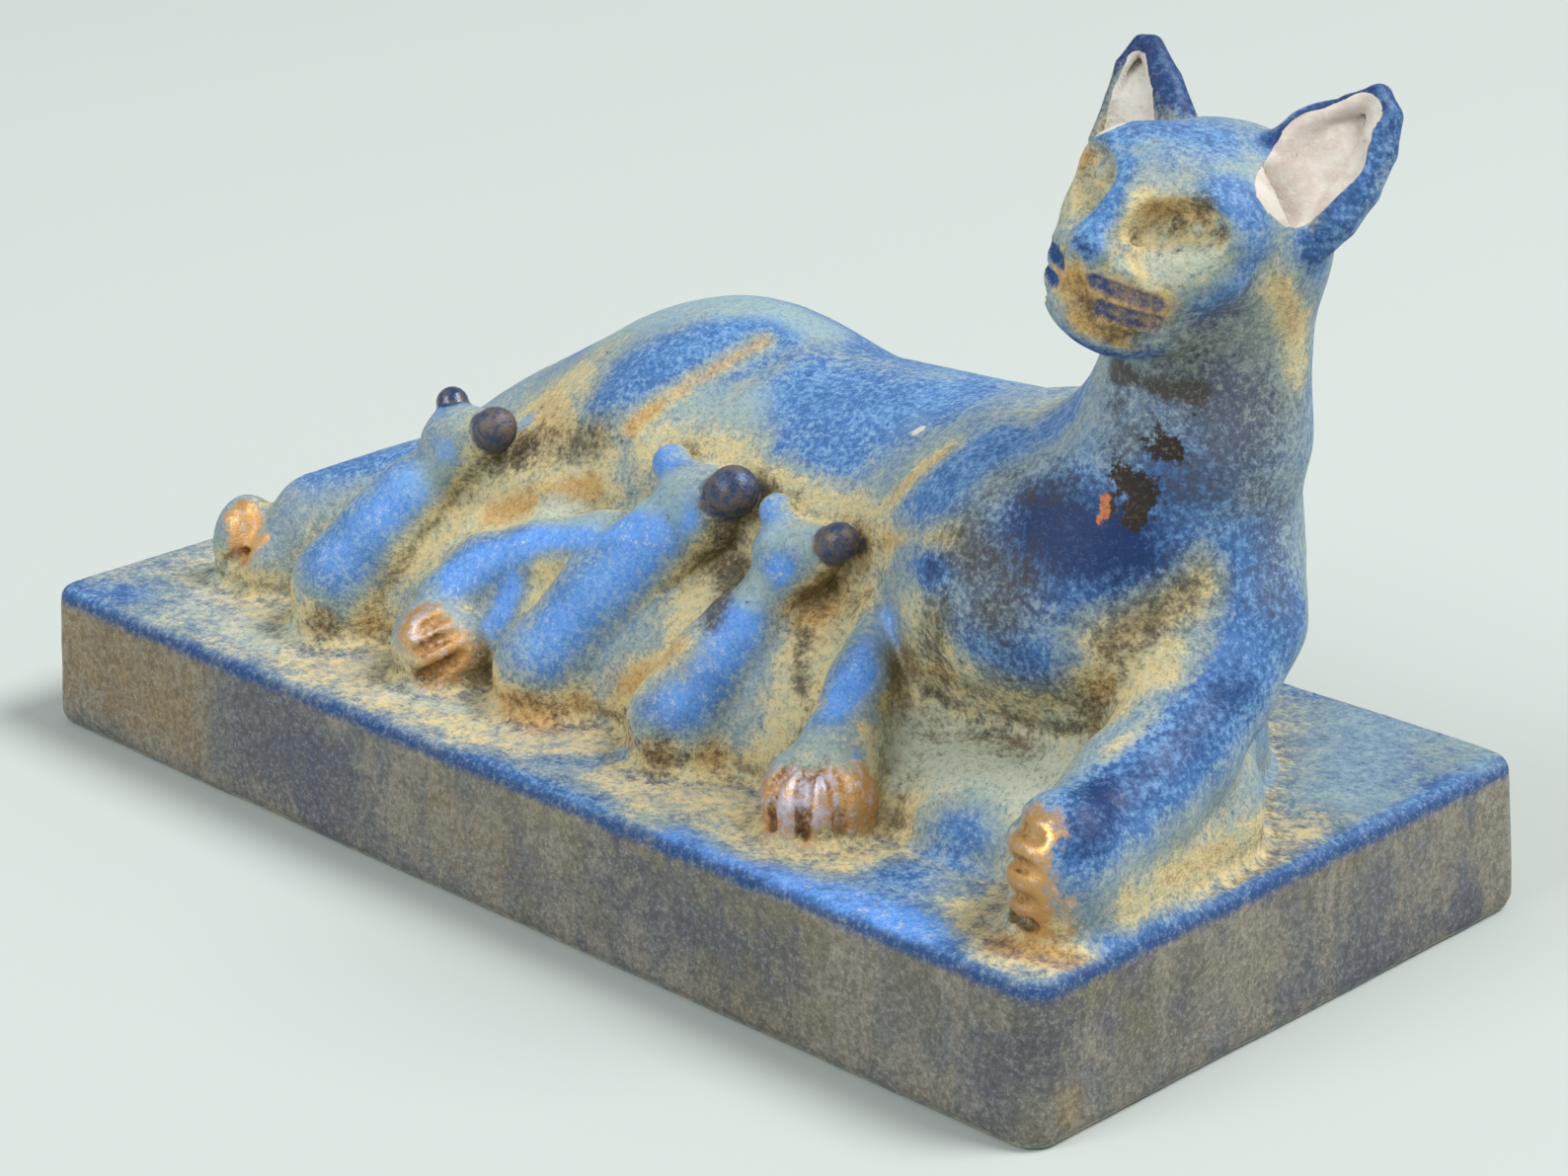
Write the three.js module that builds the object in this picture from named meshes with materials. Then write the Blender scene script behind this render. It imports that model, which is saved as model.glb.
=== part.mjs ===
// A reclining cat with three kittens at her side, carved and painted as one solid with the plinth
// under her. Millimetres, Z up, with the origin at the middle of the plinth's underside. The head is
// towards +X and is turned to look towards -Y, the side where the kittens lie.
//
// The form is sculpted in a grid of distances: rounded shapes are joined and carved softly, as a
// modeller works clay, then the skin of the grid is taken off and thinned to a faceted solid.
import * as THREE from "three";
import { triTable } from "three/addons/objects/MarchingCubes.js";

// Driving sizes
const FIGURE_LENGTH = 168.8; // from the hind foot to the front paw at the plinth's far end
const TAIL_END_BORDER = 10; // bare plinth past the hind foot
const HEAD_END_BORDER = 1.2; // bare plinth past the front paw
const FRONT_BORDER = 6.8; // bare plinth in front of the paws
const BACK_BORDER = 7.1; // bare plinth behind the tail
const PLINTH_HEIGHT = 19.6;
const PLINTH_FLARE = 0.9; // how far each side leans out on its way down
const PLINTH_CORNER_RADIUS = 4; // the four upright corners
const PLINTH_EDGE_RADIUS = 1.6; // the worn edges around the top and the foot

// Fineness of the faceted solid
const TRIANGLES = 9400;
const GRID_STEPS = 172; // steps of the sculpting grid along the figure

// The figure's pose, proportions and carving are told in shares of its length, counted here in
// parts. Heights count up from the plinth's top.
const LENGTH_IN_PARTS = 168.8;
const part = FIGURE_LENGTH / LENGTH_IN_PARTS;
const gridStep = FIGURE_LENGTH / GRID_STEPS;
const FAR = 1e3; // the distance given to space that no shape has reached

const at = (x, y, z) => new THREE.Vector3(x * part, y * part, z * part + PLINTH_HEIGHT);

// The face has a frame of its own: x towards the cat's left ear, y out of the nose, z up.
const FACE_TURN = THREE.MathUtils.degToRad(5);
const FACE_TILT = THREE.MathUtils.degToRad(13);
const faceAhead = new THREE.Vector3(-Math.sin(FACE_TURN), -Math.cos(FACE_TURN), 0);
const faceLeft = new THREE.Vector3(Math.cos(FACE_TURN), -Math.sin(FACE_TURN), 0)
  .applyAxisAngle(faceAhead, -FACE_TILT);
const faceUp = new THREE.Vector3().crossVectors(faceAhead, faceLeft);
const headCentre = at(73.3, 4, 69.7);
const onFace = (x, y, z) => headCentre.clone()
  .addScaledVector(faceLeft, x * part)
  .addScaledVector(faceAhead, y * part)
  .addScaledVector(faceUp, z * part);

// Shapes: each gives its distance at a point and the box that holds it

function boxAround(centre, x, y, z) {
  const half = new THREE.Vector3(x, y, z);
  return new THREE.Box3(centre.clone().sub(half), centre.clone().add(half));
}

// A round-ended bar from a to b whose radius runs from startRadius to endRadius. Pressed flat, it
// keeps only the share thin of its thickness along the direction across.
function bar(a, b, startRadius, endRadius, across = null, thin = 1) {
  const run = b.clone().sub(a);
  const runSquared = run.lengthSq();
  const start = startRadius * part;
  const finish = endRadius * part;
  const growth = finish - start;
  const press = new THREE.Vector3();
  if (across) press.copy(across).addScaledVector(run, -across.dot(run) / runSquared).normalize();
  const stretch = 1 / thin - 1;
  const distance = (x, y, z) => {
    const px = x - a.x;
    const py = y - a.y;
    const pz = z - a.z;
    const along = (px * run.x + py * run.y + pz * run.z) / runSquared;
    const share = Math.min(1, Math.max(0, along));
    const off = px * press.x + py * press.y + pz * press.z;
    const qx = px - share * run.x + stretch * off * press.x;
    const qy = py - share * run.y + stretch * off * press.y;
    const qz = pz - share * run.z + stretch * off * press.z;
    const length = Math.hypot(qx, qy, qz);
    const pressed = off / thin;
    const slope = Math.sqrt(Math.max(length ** 2 - pressed ** 2, 0) + (pressed / thin) ** 2);
    const gap = length - start - growth * share;
    return across ? gap * length / Math.max(slope, 1e-6) : gap;
  };
  const box = boxAround(a, start, start, start).union(boxAround(b, finish, finish, finish));
  return { distance, box };
}

// An ellipsoid with its three radii along the axes given, which are those of space unless told.
const SPACE_AXES = [
  new THREE.Vector3(1, 0, 0),
  new THREE.Vector3(0, 1, 0),
  new THREE.Vector3(0, 0, 1),
];
const faceAxes = [faceLeft, faceAhead, faceUp];

function egg(centre, radii, axes = SPACE_AXES) {
  const [r0, r1, r2] = radii.map((radius) => radius * part);
  const [u, v, w] = axes;
  const distance = (x, y, z) => {
    const px = x - centre.x;
    const py = y - centre.y;
    const pz = z - centre.z;
    const a = (px * u.x + py * u.y + pz * u.z) / r0;
    const b = (px * v.x + py * v.y + pz * v.z) / r1;
    const c = (px * w.x + py * w.y + pz * w.z) / r2;
    const size = Math.hypot(a, b, c);
    const slope = Math.hypot(a / r0, b / r1, c / r2);
    return size * (size - 1) / Math.max(slope, 1e-6);
  };
  const reach = ["x", "y", "z"].map((n) => Math.hypot(u[n] * r0, v[n] * r1, w[n] * r2));
  return { distance, box: boxAround(centre, ...reach) };
}

function ball(centre, radius) {
  return egg(centre, [radius, radius, radius]);
}

// The plinth: an upright block under the area given, which spreads towards its foot.
function plinthBlock({ min, max }) {
  const middle = min.clone().add(max).divideScalar(2);
  const half = max.clone().sub(middle);
  const halfHeight = PLINTH_HEIGHT / 2;
  const distance = (x, y, z) => {
    const spread = PLINTH_FLARE * (1 - z / PLINTH_HEIGHT) - PLINTH_CORNER_RADIUS;
    const qx = Math.abs(x - middle.x) - half.x - spread;
    const qy = Math.abs(y - middle.y) - half.y - spread;
    const corner = Math.hypot(Math.max(qx, 0), Math.max(qy, 0)) + Math.min(Math.max(qx, qy), 0);
    const side = corner - PLINTH_CORNER_RADIUS + PLINTH_EDGE_RADIUS;
    const top = Math.abs(z - halfHeight) - halfHeight + PLINTH_EDGE_RADIUS;
    const outside = Math.hypot(Math.max(side, 0), Math.max(top, 0));
    return Math.min(Math.max(side, top), 0) + outside - PLINTH_EDGE_RADIUS;
  };
  middle.z = halfHeight;
  const box = boxAround(middle, half.x + PLINTH_FLARE, half.y + PLINTH_FLARE, halfHeight);
  return { distance, box };
}

// Takes the same shapes as the clay below, only to measure how far they reach.
class Reach {
  box = new THREE.Box3();

  join(shape) {
    this.box.union(shape.box);
  }

  carve() {}
}

// The sculpting grid

class Clay {
  constructor(box, step) {
    this.step = step;
    this.low = box.min.clone().divideScalar(step).floor().addScalar(-1).multiplyScalar(step);
    const size = box.max.clone().sub(this.low).divideScalar(step).ceil().addScalar(2);
    this.count = size.toArray();
    this.rowSize = this.count[0];
    this.layerSize = this.count[0] * this.count[1];
    this.depth = new Float32Array(this.layerSize * this.count[2]).fill(FAR);
  }

  // Joins a shape to the form. The softness is the width of the fillet where the two meet.
  join(shape, softness) {
    this.mix(shape, softness * part, 1);
  }

  // Carves a shape out of the form.
  carve(shape, softness) {
    this.mix(shape, softness * part, -1);
  }

  mix(shape, softness, sign) {
    const { low, step, count, depth } = this;
    const box = shape.box.clone().expandByScalar(softness + 3 * step);
    const from = box.min.sub(low).divideScalar(step).floor().toArray();
    const to = box.max.sub(low).divideScalar(step).ceil().toArray();
    const range = from.map((n, axis) => [Math.max(n, 0), Math.min(to[axis], count[axis] - 1)]);
    for (let k = range[2][0]; k <= range[2][1]; k++) {
      for (let j = range[1][0]; j <= range[1][1]; j++) {
        for (let i = range[0][0]; i <= range[0][1]; i++) {
          const n = i + j * this.rowSize + k * this.layerSize;
          const x = low.x + i * step;
          const y = low.y + j * step;
          const z = low.z + k * step;
          const old = sign * depth[n];
          const added = shape.distance(x, y, z);
          const near = Math.max(softness - Math.abs(old - added), 0);
          const fillet = softness > 0 ? near ** 2 / softness / 4 : 0;
          depth[n] = sign * (Math.min(old, added) - fillet);
        }
      }
    }
  }

  // The triangles of the surface where the distance is nought, with shared points.
  skin() {
    const { low, step, count, depth, rowSize, layerSize } = this;
    const strides = [1, rowSize, layerSize];
    const corners = [
      [0, 0, 0], [1, 0, 0], [1, 1, 0], [0, 1, 0], [0, 0, 1], [1, 0, 1], [1, 1, 1], [0, 1, 1],
    ];
    const offsets = corners.map((c) => c[0] + c[1] * rowSize + c[2] * layerSize);
    // Each edge of a cell by the corner where it starts and the axis along which it runs
    const edges = [
      [0, 0], [1, 1], [3, 0], [0, 1], [4, 0], [5, 1], [7, 0], [4, 1], [0, 2], [1, 2], [2, 2], [3, 2],
    ];
    const known = new Map();
    const points = [];
    const faces = [];
    const pointOn = (cell, i, j, k, edge) => {
      const [corner, axis] = edges[edge];
      const n = cell + offsets[corner];
      const key = n * 3 + axis;
      if (known.has(key)) return known.get(key);
      const share = depth[n] / (depth[n] - depth[n + strides[axis]]);
      const place = [i, j, k].map((value, a) => value + corners[corner][a]);
      place[axis] += THREE.MathUtils.clamp(share, 0.02, 0.98);
      points.push(low.x + place[0] * step, low.y + place[1] * step, low.z + place[2] * step);
      known.set(key, points.length / 3 - 1);
      return points.length / 3 - 1;
    };
    for (let k = 0; k < count[2] - 1; k++) {
      for (let j = 0; j < count[1] - 1; j++) {
        for (let i = 0; i < count[0] - 1; i++) {
          const cell = i + j * rowSize + k * layerSize;
          let inside = 0;
          for (let c = 0; c < 8; c++) if (depth[cell + offsets[c]] < 0) inside |= 1 << c;
          if (inside === 0 || inside === 255) continue;
          for (let t = inside * 16; triTable[t] !== -1; t += 3) {
            const a = pointOn(cell, i, j, k, triTable[t]);
            const b = pointOn(cell, i, j, k, triTable[t + 1]);
            const c = pointOn(cell, i, j, k, triTable[t + 2]);
            faces.push(a, c, b);
          }
        }
      }
    }
    return { points, faces };
  }
}

// The figure

// A run of bars through [point, radius] pairs.
function limb(clay, joints, softness, rootSoftness = softness) {
  joints.slice(1).forEach(([end, endRadius], n) => {
    const [start, startRadius] = joints[n];
    clay.join(bar(start, end, startRadius, endRadius), n ? softness : rootSoftness);
  });
}

// A groove through [point, radius] pairs.
function groove(clay, joints, softness) {
  joints.slice(1).forEach(([end, endRadius], n) => {
    const [start, startRadius] = joints[n];
    clay.carve(bar(start, end, startRadius, endRadius), softness);
  });
}

// An upright post that carries a rounded form down into the plinth.
const POST_DEPTH = 12;
function post(place, radius) {
  return bar(place, place.clone().setZ(place.z - POST_DEPTH * part), radius, radius);
}

function torso(clay) {
  clay.join(bar(at(-38, 12, 3), at(56, 9, 3), 15, 18), 0);
  clay.join(bar(at(-20, 12, 18), at(48, 12, 20), 20.8, 21.7), 0);
  clay.join(egg(at(18, 3, 14.4), [36, 15.5, 19]), 8);
  clay.join(egg(at(-10, 12, 20.4), [22, 19.5, 22.8]), 7);
  clay.join(egg(at(-34, 12, 10.9), [24, 19, 20]), 8);
  clay.join(egg(at(-22, -6, 7.4), [24, 9, 12]), 4);
  // The chest: the near shoulder, the keel below the throat, and the far side
  clay.join(egg(at(51, 2, 25), [18, 19, 18]), 10);
  clay.join(bar(at(69, 2, 44), at(62.5, 0.5, 26), 8.5, 16.5), 9);
  clay.join(egg(at(54, 11, 22.9), [17, 19, 19]), 8);
  // The lap, a sloping bank that fills the spaces between the kittens, and the foot below it
  const bank = new THREE.Vector3(0, -0.77, 0.64);
  clay.join(bar(at(-38, -15.6, 9.5), at(30, -15.6, 9.5), 13, 13, bank, 0.5), 3);
  clay.join(bar(at(-50, -8, 1), at(36, -13, 1), 6, 6), 2);
}

function tail(clay) {
  limb(clay, [
    [at(-54, 20, 5.5), 5.5],
    [at(-38, 29.5, 4.5), 4.6],
    [at(-14, 32.5, 4), 4],
    [at(8, 33, 3.6), 3.4],
    [at(24, 32, 3.2), 2.8],
  ], 2, 4);
  clay.join(bar(at(-50, 22, 2), at(14, 28, 2.5), 5, 3.5), 2);
}

function hindLegs(clay) {
  clay.join(bar(at(-12, 3, 24.9), at(-38, -2, 13.9), 13.5, 10), 4);
  // The leg under her, stretched out to the left
  clay.join(bar(at(-45, 2, 13.4), at(-64, -16, 7.7), 10, 7.3), 6);
  clay.join(bar(at(-60, -13, 3.4), at(-67, -20, 2.4), 9, 7), 3);
  clay.join(bar(at(-42, 6, 2), at(-58, -4, 2), 10, 9), 3);
  clay.join(bar(at(-70, -14, 0.4), at(-76, -16, 0.4), 6, 4), 3);
  // The crease that parts the thigh from the belly, and the groin below it
  groove(clay, [
    [at(1.5, 9, 45.5), 2],
    [at(0, 3, 43.2), 3.4],
    [at(-2, -3, 40.4), 3.6],
    [at(-7.5, -10, 35), 3.6],
  ], 4);
  clay.carve(bar(at(-12, -13.5, 30), at(-27, -15.5, 25.5), 4.5, 4), 3);
  // The upper leg, which comes down between the first two kittens
  limb(clay, [
    [at(-1, -9, 17.5), 6],
    [at(-8.5, -13.5, 16.4), 5.3],
    [at(-17.5, -16, 14.4), 5],
    [at(-25, -19, 11.8), 4.8],
    [at(-28, -23.5, 7.5), 5],
  ], 1.6);
  clay.join(bar(at(-14, -12, 6), at(-24, -20, 3), 7, 6), 3);
}

function forelegs(clay) {
  clay.join(bar(at(44, -4, 14.4), at(52, -3, 10.4), 8, 9), 5);
  // The apron below the chest
  clay.join(egg(at(61, -7, 0), [24, 19, 11.5]), 3);
  clay.join(egg(at(69, -8, 9), [7, 7, 7]), 3);
  // The right foreleg, which narrows to a wedge beside the third kitten
  limb(clay, [
    [at(36.3, -11.5, 19.3), 2.2],
    [at(40.3, -18.5, 14), 3.8],
    [at(43.3, -25.5, 8), 5],
  ], 1.5, 2);
  clay.join(bar(at(42, -12, 6.4), at(44, -24, 1.4), 7.5, 5.5), 3);
  // The left foreleg, from the shoulder down along the plinth's end
  clay.join(bar(at(58, 16, 14), at(70, 8, 24), 10, 8.6), 5);
  limb(clay, [
    [at(73, 7, 31), 7],
    [at(78.6, 3, 25.5), 6.8],
    [at(79.8, -3, 19.8), 6.8],
    [at(80.5, -10, 14.5), 7],
    [at(80.8, -17, 11.5), 7.2],
    [at(81.2, -25, 8), 7.2],
  ], 2, 4);
  limb(clay, [
    [at(66, 10, 8), 7.5],
    [at(77.5, -4, 5), 8],
    [at(81.2, -25, 0.4), 7.4],
  ], 3, 4);
}

// Each paw by its place, its radii and the radius of the post under it
const PAWS = [
  { place: at(-72.3, -22.5, 4.9), radii: [4.6, 5, 6.8], post: 4.4 },
  { place: at(-25.3, -28, 4.1), radii: [6.8, 6, 5.9], post: 5.8 },
  { place: at(43.5, -29, 3.9), radii: [6.9, 6.3, 6], post: 6.2 },
  { place: at(81.8, -29.4, 7.6), radii: [7, 7.3, 8.4], post: 6.3 },
];

function paws(clay) {
  for (const paw of PAWS) {
    clay.join(egg(paw.place, paw.radii), 1.2);
    clay.join(post(paw.place, paw.post), 1);
  }
}

// Each kitten's body from its rump up, its head, and the two round ears on it
const KITTENS = [
  {
    body: [[at(-47.5, -25.2, 5.6), 7], [at(-43.8, -20.8, 12), 6.8], [at(-41, -17.6, 17), 6.2]],
    head: [at(-37.6, -13, 24), 5.2],
    ears: [[at(-40.2, -12, 29.3), 2.1], [at(-29.6, -13.8, 28.5), 2.8]],
  },
  {
    body: [[at(-8.2, -24.5, 4.3), 6.7], [at(-3, -18.4, 13.5), 6.8], [at(3.2, -14, 21), 6.2]],
    head: [at(6.5, -11.8, 25), 5.6],
    ears: [[at(0.2, -10.5, 29.7), 2.6], [at(13.3, -12.8, 29.8), 3.2]],
  },
  {
    body: [[at(16.2, -24.5, 4), 6.6], [at(18.8, -20.6, 10), 6.6], [at(20.6, -18, 14), 6.1]],
    head: [at(23.6, -13.2, 23.3), 4.8],
    ears: [[at(19.8, -11.8, 28.5), 2.2], [at(32, -13.6, 28), 2.4]],
  },
];
// The bed of clay under each kitten, as shifts and swellings of its body's joints
const BED = [[0, 0, -6, 0], [0, 2, -9, 0], [0, 3, -9, 0.6]];
const NECK_SLIMMER = 1.3; // how much slimmer the neck is than the body and the head
const EAR_STALK = 0.7; // the radius of an ear's stalk at the ear, as a share of the ear's
const STALK_ROOT = 0.55; // how far from the ear to the middle of the head its stalk runs
const ROOT_SLIMMER = 1; // how much slimmer the stalk's root is than the head

function kittens(clay) {
  for (const { body, head: [crown, roundness], ears: knobs } of KITTENS) {
    limb(clay, body, 1.2, 1.5);
    clay.join(post(...body[0]), 2);
    const bed = BED.map(([x, y, z, wider], n) => {
      const [place, radius] = body[n];
      const shift = new THREE.Vector3(x, y, z).multiplyScalar(part);
      return [place.clone().add(shift), radius + wider];
    });
    limb(clay, bed, 2.5);
    const [nape, thickness] = body.at(-1);
    clay.join(bar(nape, crown, thickness - NECK_SLIMMER, roundness - NECK_SLIMMER), 1);
    clay.join(ball(crown, roundness), 0.8);
    for (const [knob, radius] of knobs) {
      const root = knob.clone().lerp(crown, STALK_ROOT);
      clay.join(bar(knob, root, radius * EAR_STALK, roundness - ROOT_SLIMMER), 1.6);
      clay.join(ball(knob, radius), 0.5);
    }
  }
  // The belly's swell behind the first two kittens
  clay.join(bar(at(-33, -7, 19), at(-22, -7.5, 19), 7, 7), 3);
}

function neckAndHead(clay) {
  clay.join(bar(at(65.8, 2.2, 26.4), at(71.9, 4.3, 46.4), 15.2, 11.7), 8);
  clay.join(bar(at(71.9, 4.3, 46.4), at(73.2, 4.7, 64.4), 11.7, 10.9), 2);
  clay.join(bar(at(67, 7, 50), at(58, 10, 36), 9, 11), 5);
  clay.join(egg(onFace(0, 0.3, 1.3), [12.8, 12.8, 10.9], faceAxes), 5);
  // Forehead, brows and cheeks
  clay.join(egg(onFace(0, 5.5, 6), [9.5, 8, 5.6], faceAxes), 2);
  for (const side of [1, -1]) {
    clay.join(egg(onFace(5.4 * side, 7.4, 5.2), [7.4, 6.9, 5.9], faceAxes), 2);
    clay.join(egg(onFace(5.4 * side, 9.2, 0.8), [6, 5.8, 5.2], faceAxes), 2.5);
  }
  // Jaw, muzzle, chin and the bridge of the nose
  clay.join(egg(onFace(0, 4, -4), [11.4, 9, 7.3], faceAxes), 3);
  clay.join(egg(onFace(-0.2, 12.2, -1.6), [9.8, 8.3, 5], faceAxes), 2.5);
  clay.join(egg(onFace(-0.3, 12.6, -6), [9.4, 8.1, 5.6], faceAxes), 2.5);
  clay.join(bar(onFace(0, 12, 3.6), onFace(0, 18, 0.6), 5, 3.2), 2.5);
}

// The sunk sockets, each with the cheek's pad below it and its eyeball, and the nose
const SOCKET_RUN = [9.6, -5.6, 1.6]; // along a socket, towards the ear on its side
const SOCKET_LEAN = 0.6; // the slope by which a socket's floor goes in under the brow
function eyesAndNose(clay) {
  for (const side of [1, -1]) {
    const run = onFace(SOCKET_RUN[0] * side, SOCKET_RUN[1], SOCKET_RUN[2]).sub(headCentre).normalize();
    const rise = faceUp.clone().addScaledVector(run, -faceUp.dot(run)).normalize();
    const out = new THREE.Vector3().crossVectors(run, rise).multiplyScalar(side);
    const axes = [
      run,
      out.clone().addScaledVector(rise, SOCKET_LEAN).normalize(),
      rise.clone().addScaledVector(out, -SOCKET_LEAN).normalize(),
    ];
    clay.carve(egg(onFace(6.8 * side, 14.8, 6.3), [6.3, 3.5, 3.4], axes), 0.6);
    clay.join(egg(onFace(6.2 * side, 9.2, 0.6), [6, 5.6, 4], faceAxes), 2);
    clay.join(egg(onFace(7.5 * side, 10.2, 5.7), [1.9, 1.8, 1.8], faceAxes), 0.25);
  }
  limb(clay, [
    [onFace(0, 9.5, 8.2), 2.8],
    [onFace(0, 15.2, 5.6), 2.1],
    [onFace(0, 19.6, 3.1), 2],
  ], 1, 2.4);
  clay.join(egg(onFace(0.3, 20, 2.2), [3, 2, 1.9], faceAxes), 0.8);
}

// Each ear by the way that it faces, the plate at its back, its raised rims and its hollow
const EARS = [
  {
    facing: new THREE.Vector3(0.61, -0.67, 0.41),
    plate: [[at(82.4, 5, 75.6), 6], [at(84, 9.6, 79.8), 5], [at(86.3, 13.8, 83.8), 2]],
    rims: [
      [
        [at(82.6, 3.8, 67.6), 1.8], [at(85.4, 4.7, 69.9), 2.3], [at(87.2, 7, 72.9), 2.5],
        [at(88, 9.6, 75.9), 2.5], [at(88.4, 12.3, 79.5), 2.2], [at(88, 14.1, 82.8), 1.9],
        [at(86.9, 14.3, 84.7), 1.6],
      ],
      [
        [at(80.2, 6.2, 80), 1.6], [at(82.4, 9.2, 82.5), 1.2], [at(84.7, 12.3, 84), 1.2],
        [at(86.9, 14.3, 84.7), 1.5],
      ],
    ],
    hollow: [[at(82.7, 4.5, 75.2), 3.8], [at(84.1, 8.2, 79.3), 4.6], [at(85.9, 12.6, 83.2), 2]],
  },
  {
    facing: new THREE.Vector3(0.33, -0.8, 0.51),
    plate: [[at(60.6, 5.4, 77.4), 5.2], [at(59.2, 7.6, 82), 4], [at(58.2, 9.6, 85.8), 2.1]],
    rims: [
      [[at(64.3, 8.7, 79.2), 1.9], [at(61.1, 9.8, 83.4), 1.7], [at(58.4, 10.3, 86.9), 1.3]],
      [[at(63.1, 7.6, 79.6), 1.1], [at(60.2, 8.9, 84.1), 0.9], [at(57.9, 9.9, 87.3), 0.9]],
      [
        [at(56.2, 3.4, 77.2), 0.8], [at(56.6, 5.6, 81.6), 0.7], [at(56.6, 7.5, 85), 0.8],
        [at(57.5, 9.6, 87.3), 1],
      ],
    ],
    hollow: [[at(60, 4.8, 77.6), 3], [at(58.9, 6.8, 82), 2.2], [at(58, 8.6, 85.2), 1]],
  },
];
const EAR_THIN = 0.42; // how thin the plate and the hollow are, as a share of their width
const EAR_PLATE_BACK = 1.6; // how far the plate lies behind its joints
const EAR_HOLLOW_AHEAD = 2.2; // how far the hollow lies in front of its joints

function ears(clay) {
  for (const { facing, plate, rims, hollow } of EARS) {
    const pressed = (joints, ahead) => joints.slice(1).map(([end, endRadius], n) => {
      const [start, startRadius] = joints[n];
      const [a, b] = [start, end].map((place) => place.clone().addScaledVector(facing, ahead * part));
      return bar(a, b, startRadius, endRadius, facing, EAR_THIN);
    });
    for (const shape of pressed(plate, -EAR_PLATE_BACK)) clay.join(shape, 2);
    for (const rim of rims) limb(clay, rim, 0.3, 1);
    for (const shape of pressed(hollow, EAR_HOLLOW_AHEAD)) clay.carve(shape, 0.6);
  }
}

// All that lies on the plinth, and then what rises above it
function lyingParts(clay) {
  torso(clay);
  tail(clay);
  hindLegs(clay);
  forelegs(clay);
  kittens(clay);
  paws(clay);
}

function risingParts(clay) {
  neckAndHead(clay);
  eyesAndNose(clay);
  ears(clay);
}

// Thinning: the edge whose loss changes the form least goes first, until few enough are left

// A heap of edges with the cheapest on top.
class Heap {
  items = [];

  push(item) {
    const { items } = this;
    let n = items.push(item) - 1;
    while (n > 0) {
      const parent = (n - 1) >> 1;
      if (items[parent].cost <= item.cost) break;
      items[n] = items[parent];
      n = parent;
    }
    items[n] = item;
  }

  pop() {
    const { items } = this;
    const top = items[0];
    const last = items.pop();
    if (!items.length) return top;
    let n = 0;
    for (;;) {
      let child = 2 * n + 1;
      if (child >= items.length) break;
      if (child + 1 < items.length && items[child + 1].cost < items[child].cost) child++;
      if (items[child].cost >= last.cost) break;
      items[n] = items[child];
      n = child;
    }
    items[n] = last;
    return top;
  }
}

const POINT_WEIGHT = 0.002; // how strongly a point holds its place against its faces' planes
const LEAST_TURN = 0.2; // the least cosine between a face's old and new directions
const TERMS = 10; // the upper half of a symmetric four by four matrix

// Adds the squared distance to a plane to the quadric that starts at n.
function addPlane(quadrics, n, [a, b, c, d], weight) {
  const terms = [a * a, a * b, a * c, a * d, b * b, b * c, b * d, c * c, c * d, d * d];
  terms.forEach((term, i) => {
    quadrics[n + i] += weight * term;
  });
}

// The place where the sum of two quadrics is least, and its value there.
function bestPlace(quadrics, a, b) {
  const q = new Array(TERMS);
  for (let i = 0; i < TERMS; i++) q[i] = quadrics[a * TERMS + i] + quadrics[b * TERMS + i];
  const [xx, xy, xz, xd, yy, yz, yd, zz, zd, dd] = q;
  const m0 = yy * zz - yz * yz;
  const m1 = xy * zz - yz * xz;
  const m2 = xy * yz - yy * xz;
  const whole = xx * m0 - xy * m1 + xz * m2;
  const x = -(xd * m0 - xy * (yd * zz - yz * zd) + xz * (yd * yz - yy * zd)) / whole;
  const y = -(xx * (yd * zz - yz * zd) - xd * m1 + xz * (xy * zd - yd * xz)) / whole;
  const z = -(xx * (yy * zd - yd * yz) - xy * (xy * zd - yd * xz) + xd * m2) / whole;
  const cost = x * (xx * x + 2 * (xy * y + xz * z + xd)) + y * (yy * y + 2 * (yz * z + yd))
    + z * (zz * z + 2 * zd) + dd;
  return { x, y, z, cost };
}

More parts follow.
